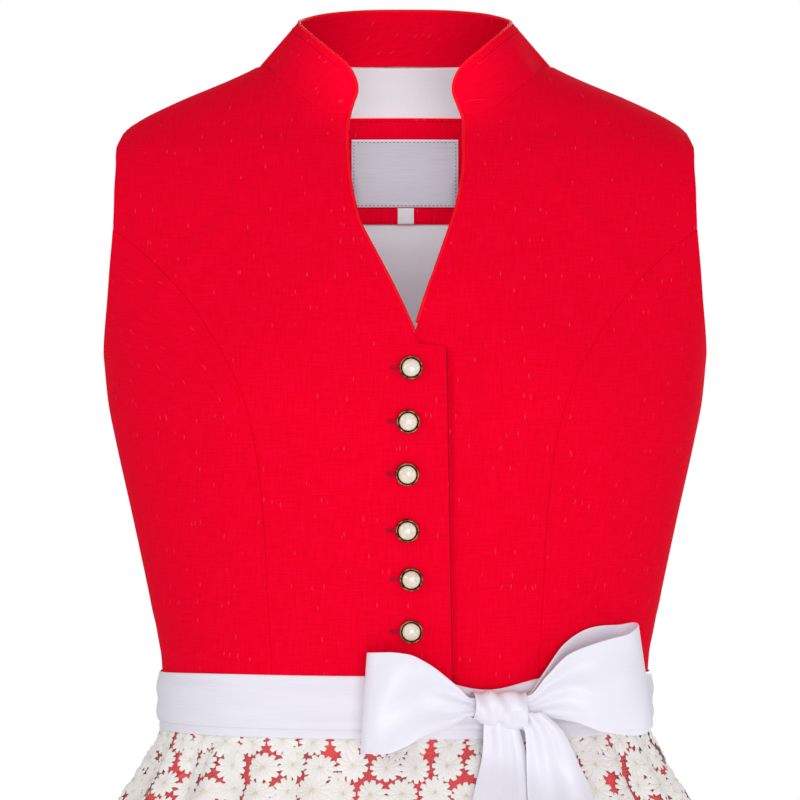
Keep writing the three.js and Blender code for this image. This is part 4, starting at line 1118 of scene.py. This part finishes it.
def embroidery_thread(name, light, dark):
    """Stitched cotton thread: matt and ridged along the petals."""
    material = new_material(name)
    place = add_node(material, "ShaderNodeTexCoord")
    strands = add_node(material, "ShaderNodeTexNoise", {"Vector": place.outputs["Object"]},
                       {"Scale": 900, "Detail": 2})
    tone = add_node(material, "ShaderNodeValToRGB", {"Fac": strands.outputs["Fac"]})
    tone.color_ramp.elements[0].position = 0.35
    tone.color_ramp.elements[0].color = linear(dark)
    tone.color_ramp.elements[1].position = 0.65
    tone.color_ramp.elements[1].color = linear(light)
    bump = add_node(material, "ShaderNodeBump", {"Height": strands.outputs["Fac"]},
                    {"Strength": 0.4, "Distance": 0.0002})
    cotton = add_node(material, "ShaderNodeBsdfPrincipled",
                      {"Base Color": tone.outputs[0], "Normal": bump.outputs[0]},
                      {"Roughness": 0.75, "Sheen Weight": 0.2})
    return finish_material(material, cotton)


petal_thread = embroidery_thread("ivory_petal_thread", "#FFFDFA", "#FAF6F1")
eye_thread = embroidery_thread("green_eye_thread", "#EEEBC8", "#DDD9AE")


def daisy_pattern():
    """One daisy, flat: points as distance across, up and out of the cloth, and its faces."""
    radius = DAISY["across"] / 2
    half = math.pi / DAISY["petals"]
    points, faces, kinds = [], [], []
    for k in range(DAISY["petals"]):
        turn = 2 * half * k
        first = len(points)
        for reach, side, rise in PETAL:
            spread = turn + side * half
            points.append((radius * reach * math.cos(spread), radius * reach * math.sin(spread), rise))
        faces += [[first + corner for corner in face] for face in PETAL_FACES]
    kinds += [0] * len(faces)
    first = len(points)
    eye_radius = EYE["share"] * radius
    for k in range(EYE["sides"]):
        turn = 2 * math.pi * k / EYE["sides"]
        points.append((eye_radius * math.cos(turn), eye_radius * math.sin(turn), EYE["edge_up"]))
    points.append((0, 0, EYE["top_up"]))
    for k in range(EYE["sides"]):
        faces.append([first + k, first + (k + 1) % EYE["sides"], first + EYE["sides"]])
        kinds.append(1)
    return np.array(points), faces, kinds


def apron_surface(angle, z, out):
    """A point at a distance outside the apron's middle, and how long one step of angle is."""
    point = form(angle, z)
    along = form(angle + 0.0005, z) - form(angle - 0.0005, z)
    rise = form(angle, z + 0.3) - form(angle, z - 0.3)
    normal = np.cross(along, rise)
    normal /= np.linalg.norm(normal, axis=-1, keepdims=True)
    reach = APRON_INNER + NET_THICKNESS + gather(angle, z) + out
    return point + normal * reach[..., None], np.linalg.norm(along, axis=-1) / 0.001


def daisy_places():
    """Rows of daisies with even gaps along the cloth, each row shifted by half a gap."""
    fine_z = np.linspace(APRON_TOP_Z, APRON_HEM_Z, 600)
    down = arc_lengths(bare_form(np.zeros_like(fine_z), fine_z), 0)
    count = int(down[-1] / DAISY["row_pitch"]) + 1
    places = []
    for row in range(count):
        z = np.interp((row + 0.12) * DAISY["row_pitch"], down, fine_z)
        fine_angle = np.linspace(-apron_end, apron_end, 4000)
        along = arc_lengths(form(fine_angle, np.full(4000, z)), 0)
        flowers = int(along[-1] / DAISY["pitch"])
        at = (np.arange(flowers) + 0.5 + 0.5 * (row % 2) - 0.25) * along[-1] / flowers
        at = at + random.uniform(-SCATTER["along"], SCATTER["along"], flowers)
        at = np.clip(at, DAISY_MARGIN["end"], along[-1] - DAISY_MARGIN["end"])
        angles = np.interp(at, along, fine_angle)
        for a in angles:
            shifted = z + random.uniform(-SCATTER["down"], SCATTER["down"])
            places.append((a, max(shifted, APRON_HEM_Z + DAISY_MARGIN["hem"]), 1))
        between = (angles[1:] + angles[:-1]) / 2
        few = between[random.uniform(0, 1, len(between)) < DAISY["small_share"]]
        if z > APRON_HEM_Z + DAISY_MARGIN["small_hem"]:
            low = z - DAISY["row_pitch"] * SMALL_DAISY["below_row"]
            places += [(a, low, SMALL_DAISY["size"]) for a in few]
    return np.array(places)


all_places = daisy_places()
pattern, pattern_faces, pattern_kinds = daisy_pattern()


def daisy_piece(name, places):
    """Daisies at their places, bent to the folds of the apron, as one mesh."""
    turn = random.uniform(0, 2 * math.pi, len(places))
    size = places[:, 2] * random.uniform(SCATTER["smallest"], SCATTER["largest"], len(places))
    raised = random.uniform(0, SCATTER["raised"], len(places))
    across = pattern[None, :, 0] * np.cos(turn)[:, None] - pattern[None, :, 1] * np.sin(turn)[:, None]
    up = pattern[None, :, 0] * np.sin(turn)[:, None] + pattern[None, :, 1] * np.cos(turn)[:, None]
    angle, z = places[:, 0:1], places[:, 1:2]
    stretch = apron_surface(angle, z, np.zeros_like(angle))[1]
    slope = np.linalg.norm(form(angle, z + 1) - form(angle, z - 1), axis=-1) / 2
    angles = angle + across * size[:, None] / stretch
    levels = np.minimum(z + up * size[:, None] / slope, APRON_TOP_Z + 1)
    below_band = smooth(-levels, -APRON_TOP_Z - 1, -APRON_TOP_Z + 1)
    relief = (pattern[None, :, 2] + raised[:, None]) * below_band
    vertices = apron_surface(angles, levels, relief)[0]
    starts = np.arange(len(places)) * len(pattern)
    faces = [[s + corner for corner in face] for s in starts for face in pattern_faces]
    piece = new_piece(name, vertices.reshape(-1, 3), faces, [petal_thread, eye_thread],
                      pattern_kinds * len(places))
    return piece


order = np.argsort(-all_places[:, 1])
parts = np.array_split(all_places[order], 3)
daisies = [daisy_piece(f"daisies_{i + 1}", part) for i, part in enumerate(parts)]

# The apron's band and the long tie over it are white satin ribbon, wound once round the waist.
# The tie is pulled tight, so it has soft creases along its length.
BAND_ROWS = (-336.6, -310)
TIE_ROWS = (-332, -303.5)
# The knot of the bow drags the ribbon down in front of it.
DRAGGED = {"x": 42, "width": 23, "tie": 7, "band": 3.5, "sides": 0.35}
TIE_CREASES = {"height": 0.35, "count": 2.2, "wander": 0.25, "start": 0.6, "flat_edge": 0.1}
# Above the band the tie settles on to the bodice.
TIE_SETTLES = {"by": 1.6, "low": -312, "high": -305}
WAIST_COLUMNS = 72
BAND_HALF_COLUMNS = 28
band_inner = CLOTH / 2 + LAYER_GAP
tie_inner = band_inner + THIN_CLOTH + SEAM_GAP
waist_column = 2 * math.pi / WAIST_COLUMNS
band_end = BAND_HALF_COLUMNS * waist_column
white_satin = woven_satin("white_satin", "#F4F2FD", "#F1EFFC", 0.38, 0.05)


def dragged(angle, z, low, high, depth):
    """Heights of a ribbon's points, whose upper edge is pulled down towards the knot."""
    x = bare_form(angle, z)[..., 0]
    pull = np.exp(-((x - DRAGGED["x"]) / DRAGGED["width"]) ** 2) * (np.cos(angle) > 0)
    pull = pull + DRAGGED["sides"] * np.sin(angle) ** 6
    return z - depth * pull * (z - low) / (high - low)


band_z, band_angle = np.meshgrid(heights(*BAND_ROWS, 1.5), steps(240, -band_end, band_end),
                                 indexing="ij")
band_z = dragged(band_angle, band_z, *BAND_ROWS, DRAGGED["band"])
apron_band = cloth_wall("apron_band_satin", form(band_angle, band_z), band_inner,
                        band_inner + THIN_CLOTH, white_satin)
tie_z, tie_angle = np.meshgrid(heights(*TIE_ROWS, 1.6), steps(359, -math.pi, math.pi * 179 / 180),
                               indexing="ij")
tie_share = (tie_z - TIE_ROWS[0]) / (TIE_ROWS[1] - TIE_ROWS[0])
tie_z = dragged(tie_angle, tie_z, *TIE_ROWS, DRAGGED["tie"])
wander = TIE_CREASES["wander"] * np.sin(2 * tie_angle + TIE_CREASES["start"])
tie_lift = TIE_CREASES["height"] * np.sin(2 * math.pi * (TIE_CREASES["count"] * tie_share + wander))
flat_low = smooth(tie_share, 0, TIE_CREASES["flat_edge"])
flat_high = smooth(1 - tie_share, 0, TIE_CREASES["flat_edge"])
tie_lift = (tie_lift + TIE_CREASES["height"]) * flat_low * flat_high
settled = smooth(tie_z, TIE_SETTLES["low"], TIE_SETTLES["high"])
tie_lift = tie_lift - TIE_SETTLES["by"] * settled
tie = cloth_wall("tie_satin", form(tie_angle, tie_z), tie_inner + tie_lift,
                 tie_inner + THIN_CLOTH + tie_lift, white_satin, ring=True)
stands_for("apron_band")
stands_for("tie")

# The bow is tied in the same ribbon, on the wearer's left: two open loops, a knot drawn tight
# round them, and two tails that hang down over the apron.
BOW = {"x": 45.6, "z": -319}
KNOT = {"half_width": 14, "half_depth": 8, "half_height": 9.6, "widen": 0.11, "middle": -1.5,
        "lean": -0.12, "inset": 0.9}
# The cloth of the knot is drawn in soft folds that run down across it to the left.
KNOT_FOLDS = [
    {"height": 0.75, "slant": 0.55, "width": 11.5, "start": 0},
    {"height": 0.3, "slant": -0.3, "width": 6.5, "start": 1},
]
LEFT_LOOP = {"side": -1, "root": 2, "length": 66, "flare": 3.5, "hollow": 9, "bend": 6,
             "back_lift": -2, "fold": 1.6, "slant": 0.7, "start": 0.05, "outline": [
                 {"reach": 0, "top": -312.6, "bottom": -325.4},
                 {"reach": 0.2, "top": -314.4, "bottom": -323.8},
                 {"reach": 0.32, "top": -308, "bottom": -328.5},
                 {"reach": 0.56, "top": -296, "bottom": -333.5},
                 {"reach": 0.72, "top": -291, "bottom": -339},
                 {"reach": 0.87, "top": -289.8, "bottom": -342},
                 {"reach": 1, "top": -289.8, "bottom": -341.6},
             ]}
RIGHT_LOOP = {"side": 1, "root": 2, "length": 75, "flare": 8, "hollow": 11, "bend": 10,
              "back_lift": 9, "fold": 1.2, "slant": -0.5, "start": 0.3, "outline": [
                  {"reach": 0, "top": -312.6, "bottom": -325.4},
                  {"reach": 0.17, "top": -313.6, "bottom": -324.6},
                  {"reach": 0.3, "top": -303.5, "bottom": -325.5},
                  {"reach": 0.46, "top": -292.5, "bottom": -328},
                  {"reach": 0.62, "top": -288.5, "bottom": -333.4},
                  {"reach": 0.78, "top": -286, "bottom": -336.5},
                  {"reach": 0.89, "top": -285, "bottom": -337.5},
                  {"reach": 1, "top": -282, "bottom": -334.5},
              ]}
LOOP_ROOT = 1.8
LOOP_HALF_CLOTH = 0.35
LOOP_DRAWN = {"height": 1.1, "count": 2.5, "slant": 0.4}
LOOP_SOFT_COUNT = 1.15
LEFT_TAIL = [
    {"z": -327, "x": 49, "half": 8.5, "tuck": 1},
    {"z": -345, "x": 51, "half": 11.4, "tuck": 3},
    {"z": -367, "x": 49.4, "half": 15, "tuck": 3.4},
    {"z": -450, "x": 44, "half": 17, "tuck": 2},
    {"z": -600, "x": 38, "half": 19, "tuck": 0},
    {"z": -772, "x": 33, "half": 20, "tuck": 0},
]
RIGHT_TAIL = [
    {"z": -322, "x": 64, "half": 6.5, "tuck": 0},
    {"z": -333, "x": 72, "half": 10, "tuck": 0},
    {"z": -345, "x": 75, "half": 12.5, "tuck": 0},
    {"z": -367, "x": 80, "half": 17, "tuck": 0},
    {"z": -450, "x": 89, "half": 19, "tuck": 0},
    {"z": -600, "x": 96, "half": 20, "tuck": 0},
    {"z": -790, "x": 102, "half": 20, "tuck": 0},
]
TAIL_CLEAR = 4.4
TAIL_CUT_SLANT = 14
TAIL_FACES = (0.1, 0.8)
# A tail is bowed out across its width, with a ripple that fades as it hangs.
TAIL_BOWED = 1.5
TAIL_RIPPLE = {"height": 0.8, "count": 2.4, "start": 0.4, "low": -640, "high": -345}

bow_seat, bow_outward = frame_at(angle_at_x(BOW["x"], BOW["z"]), BOW["z"])
bow_turn = math.atan2(bow_outward[0], -bow_outward[1])
knot_height = tie_inner + THIN_CLOTH + SEAM_GAP + KNOT["half_depth"]
bow_at = bow_seat + knot_height * np.array((math.sin(bow_turn), -math.cos(bow_turn), 0))


def from_bow(points):
    """Turns points of the bow's own frame, along the waist, inward and up, to the dress's."""
    x, y, z = points[..., 0], points[..., 1], points[..., 2]
    turned = np.stack([x * math.cos(bow_turn) - y * math.sin(bow_turn),
                       x * math.sin(bow_turn) + y * math.cos(bow_turn), z], -1)
    return turned + bow_at


def loop_points(loop):
    """A loop's cloth, out along its front and back behind: sharp folds near the knot, soft beyond."""
    top_at = reader(loop["outline"], "reach", "top")
    bottom_at = reader(loop["outline"], "reach", "bottom")
    t, s = np.meshgrid(edged(30), steps(150), indexing="ij")
    reach = np.sin(math.pi * s)
    behind = np.cos(math.pi * s)
    lift = loop["back_lift"] * smooth(reach, 0.2, 0.7) * (0.5 + 0.5 * behind)
    drawn = np.cos(2 * math.pi * (LOOP_DRAWN["count"] * t + LOOP_DRAWN["slant"] * reach))
    drawn = drawn * (1 - smooth(reach, 0.3, 0.7))
    soft = np.cos(2 * math.pi * (LOOP_SOFT_COUNT * t + loop["slant"] * reach + loop["start"]))
    soft = soft * loop["fold"] * smooth(reach, 0.3, 0.6) * (1 - smooth(reach, 0.8, 1))
    folds = LOOP_DRAWN["height"] * drawn * smooth(reach, 0.1, 0.3) + soft
    y = behind * (LOOP_ROOT + 2 * loop["hollow"] * reach ** 2) + loop["bend"] * reach ** 2
    z = bottom_at(reach) + (top_at(reach) - bottom_at(reach)) * t + lift - BOW["z"]
    x = loop["side"] * (loop["root"] + (loop["length"] + loop["flare"] * (1 - t)) * reach)
    return from_bow(np.stack([x, y + folds, z], -1))


for name, loop in (("bow_loop_left", LEFT_LOOP), ("bow_loop_right", RIGHT_LOOP)):
    piece = cloth_wall(f"{name}_satin", loop_points(loop), -LOOP_HALF_CLOTH, LOOP_HALF_CLOTH,
                       white_satin, turned=0.5)
    stands_for(name)

knot_x, knot_turn = np.meshgrid(steps(40, -KNOT["half_width"], KNOT["half_width"]),
                                np.linspace(0, 2 * math.pi, 64, endpoint=False), indexing="ij")
knot_half = KNOT["half_height"] + KNOT["widen"] * knot_x
knot_middle = KNOT["middle"] + KNOT["lean"] * knot_x
knot_up = knot_half * np.sin(knot_turn)
knot_fold = np.zeros_like(knot_x)
for fold in KNOT_FOLDS:
    across = (knot_x + fold["slant"] * knot_up) / fold["width"]
    knot_fold = knot_fold + fold["height"] * np.cos(2 * math.pi * across + fold["start"])
knot_points = from_bow(np.stack([
    knot_x,
    -(KNOT["half_depth"] - KNOT["inset"] + knot_fold) * np.cos(knot_turn),
    (knot_half - KNOT["inset"] + knot_fold) * np.sin(knot_turn) + knot_middle], -1))
bow_knot = cloth_wall("bow_knot_satin", knot_points, -0.4, 0.4, white_satin, ring=True, turned=0.5)
stands_for("bow_knot")


def tail_points(route, forward):
    """A tail of the bow: it hangs from the knot and lies on the crests of the apron."""
    middle = reader(route, "z", "x")
    half = reader(route, "z", "half")
    tuck = reader(route, "z", "tuck")
    z, s = np.meshgrid(heights(route[-1]["z"], route[0]["z"], 5), edged(22) * 2 - 1, indexing="ij")
    # Its end is cut on the slant.
    low = z - TAIL_CUT_SLANT * s * smooth(-z, 700, 770)
    x = middle(z) + half(z) * s
    crest = fold_depth_at(low) * smooth(-low, 337, 360)
    resting = bare_form(angle_at_x(x, low), low)[..., 1] - crest - TAIL_CLEAR - forward
    hanging = bow_at[1] + 1 - forward
    blend = smooth(-low, 328, 380)
    y = np.minimum(hanging * (1 - blend) + resting * blend, resting)
    ripple = np.cos(math.pi * (TAIL_RIPPLE["count"] * s + TAIL_RIPPLE["start"]))
    ripple = TAIL_RIPPLE["height"] * ripple * smooth(z, TAIL_RIPPLE["low"], TAIL_RIPPLE["high"])
    round_out = TAIL_BOWED * (1 - s * s) + ripple
    tucked = tuck(z) * smooth(s, 0.3, 0.55)
    return np.stack([x, y - round_out + tucked - tuck(z), low], -1)


for name, route, forward, length in (("bow_tail_left", LEFT_TAIL, 0, 460),
                                     ("bow_tail_right", RIGHT_TAIL, 1.5, 485)):
    piece = cloth_wall(f"{name}_satin", tail_points(route, forward), *TAIL_FACES, white_satin,
                       turned=0.5)
    stands_for(name)

# Six buttons close the front. Each is a half pearl set in a rim of antiqued brass, and the rim's
# edge is milled with small notches.
RIM_RADIUS = 6.3
PEARL_RADIUS = 4.6
PEARL_DOME = {"from": 1.9, "rise": 2.7}
NOTCHES = 30
NOTCH_DEPTH = 0.07
# Each button stands a little off the lap, where its thread holds it.
BUTTON_STAND = 0.15
BUTTONS = [
    {"x": 3.1, "z": -144.6},
    {"x": 1.6, "z": -171.8},
    {"x": 1.1, "z": -198.9},
    {"x": 1.1, "z": -228},
    {"x": 3.1, "z": -253.2},
    {"x": 3.1, "z": -280.3},
]


def antique_brass():
    """Brass with a dark wax left in its low places, so edges shine and notches look brown."""
    material = new_material("antique_brass")
    place = add_node(material, "ShaderNodeTexCoord")
    patina = add_node(material, "ShaderNodeTexNoise", {"Vector": place.outputs["Object"]},
                      {"Scale": 420, "Detail": 3})
    tone = add_node(material, "ShaderNodeValToRGB", {"Fac": patina.outputs["Fac"]})
    tone.color_ramp.elements[0].position = 0.38
    tone.color_ramp.elements[0].color = linear("#5A3D22")
    tone.color_ramp.elements[1].position = 0.62
    tone.color_ramp.elements[1].color = linear("#B58A55")
    bump = add_node(material, "ShaderNodeBump", {"Height": patina.outputs["Fac"]},
                    {"Strength": 0.2, "Distance": 0.0002})
    metal = add_node(material, "ShaderNodeBsdfPrincipled",
                     {"Base Color": tone.outputs[0], "Normal": bump.outputs[0]},
                     {"Metallic": 1, "Roughness": 0.38})
    return finish_material(material, metal)


def pearl_plastic():
    """Moulded pearl: a cream body under a clear coat, with the faint pink and green of its shine painted
    into its colour in random patches.
    """
    material = new_material("pearl_plastic")
    place = add_node(material, "ShaderNodeTexCoord")
    painted_sheen_clouds = add_node(material, "ShaderNodeTexNoise", {"Vector": place.outputs["Object"]},
                      {"Scale": 260, "Detail": 2, "Distortion": 0.6})
    # The cream is the pearl's own colour; the pink is painted sheen.
    tone = add_node(material, "ShaderNodeValToRGB", {"Fac": painted_sheen_clouds.outputs["Fac"]})
    tone.color_ramp.elements[0].position = 0.35
    tone.color_ramp.elements[0].color = linear("#EFD3C4")
    tone.color_ramp.elements[1].position = 0.62
    tone.color_ramp.elements[1].color = linear("#F1EEDB")
    pearl = add_node(material, "ShaderNodeBsdfPrincipled", {"Base Color": tone.outputs[0]},
                     {"Roughness": 0.25, "Coat Weight": 0.8, "Coat Roughness": 0.05,
                      "Specular IOR Level": 0.6})
    return finish_material(material, pearl)


brass = antique_brass()
pearl = pearl_plastic()


def turned_piece(name, profile, seat, outward, material, notch=0.0, sides=72):
    """A round piece from its profile, as radius and height, set on the cloth and facing out."""
    guide = np.cross(outward, (0, 0, 1))
    guide /= np.linalg.norm(guide)
    other = np.cross(outward, guide)
    turn = np.linspace(0, 2 * math.pi, sides, endpoint=False)
    milled = 1 - notch * (0.5 + 0.5 * np.cos(NOTCHES * turn))
    vertices = []
    for radius, height, milling in profile:
        size = radius * (1 - (1 - milled) * milling)
        vertices.append(seat + outward * height + size[:, None] * (
            guide * np.cos(turn)[:, None] + other * np.sin(turn)[:, None]))
    vertices = np.concatenate(vertices)
    j, i = np.meshgrid(np.arange(len(profile) - 1), np.arange(sides), indexing="ij")
    near, far = j * sides + i, j * sides + (i + 1) % sides
    faces = np.stack([near, near + sides, far + sides, far], -1).reshape(-1, 4)
    return new_piece(name, vertices, faces.tolist(), [material])


# Each point of a profile gives its radius, its height, and how much of the milling it takes.
RIM_PROFILE = [
    (0.1, 0, 0), (5.4, 0, 0), (6.0, 0.2, 0.4), (RIM_RADIUS, 0.7, 1), (RIM_RADIUS, 1.7, 1),
    (6.05, 2.2, 0.7), (5.7, 2.4, 0.2), (5.35, 2.3, 0), (5.15, 1.9, 0), (5.1, 1, 0), (0.1, 1, 0),
]
PEARL_PROFILE = [(0.1, 1.1, 0), (PEARL_RADIUS, 1.1, 0)]
for rise in np.linspace(0, 1.55, 12):
    dome_height = PEARL_DOME["from"] + PEARL_DOME["rise"] * math.sin(rise)
    PEARL_PROFILE.append((PEARL_RADIUS * math.cos(rise), dome_height, 0))
for i, button in enumerate(BUTTONS):
    seat, outward = frame_at(angle_at_x(button["x"], button["z"]), button["z"])
    seat = seat + outward * (CLOTH / 2 + SEAM_GAP + BUTTON_STAND)
    rim_piece = turned_piece(f"milled_rim_{i + 1}", RIM_PROFILE, seat, outward, brass, NOTCH_DEPTH,
                             sides=120)
    stands_for(f"button_rim_{i + 1}")
    pearl_piece = turned_piece(f"half_pearl_{i + 1}", PEARL_PROFILE, seat, outward, pearl)
    stands_for(f"button_pearl_{i + 1}")

# Each buttonhole is a slit cut in the lap and bound all round with close stitches of red thread.
# A button covers most of it, and its outer end shows beside the rim.
BUTTONHOLE = {"from": -11, "to": 1.5, "half_width": 0.75, "thread": 0.5}
bound_thread = sewing_thread("bound_red_thread", "#D4103C", "#A80A2C")


def buttonhole_piece(name, button):
    """The bound edge of a buttonhole: a cord laid round the slit on the face of the lap."""
    turn = np.linspace(0, 2 * math.pi, 61)
    middle = (BUTTONHOLE["from"] + BUTTONHOLE["to"]) / 2
    straight = (BUTTONHOLE["to"] - BUTTONHOLE["from"]) / 2 - BUTTONHOLE["half_width"]
    x = button["x"] + middle + straight * np.tanh(4 * np.cos(turn)) + 0.6 * np.cos(turn)
    z = button["z"] + BUTTONHOLE["half_width"] * np.sin(turn)
    point, outward = frame_at(angle_at_x(x, z), z)
    piece = cord_piece(name, point + outward * (CLOTH / 2 + 0.15), BUTTONHOLE["thread"],
                       bound_thread, 8)


for i, button in enumerate(BUTTONS):
    buttonhole_piece(f"buttonhole_{i + 1}", button)

# A thin dark red cord of painted shade runs along the edge of the lap: it stands for the shadow
# under the lap's edge, and reads as a dark line down the front.
LAP_SHADOW_LINE = {"radius": 0.32, "past_edge": 0.25, "sunk": 0.1, "above_waist": 3, "below_top": 0.8}
lap_shadow_z = steps(300, WAIST_SEAM_Z + LAP_SHADOW_LINE["above_waist"], LAP_TOP_Z - LAP_SHADOW_LINE["below_top"])
lap_shadow_x = lap_edge(lap_shadow_z) + LAP_SHADOW_LINE["past_edge"]
lap_point, lap_outward = frame_at(angle_at_x(lap_shadow_x, lap_shadow_z), lap_shadow_z)
# Painted shade: a dark cord laid where the lap's edge throws its shadow.
lap_shadow_cord = cord_piece("lap_edge_painted_shadow", lap_point - lap_outward * LAP_SHADOW_LINE["sunk"],
                        LAP_SHADOW_LINE["radius"], sewing_thread("painted_lap_shadow", "#B80A28", "#9C061E"))
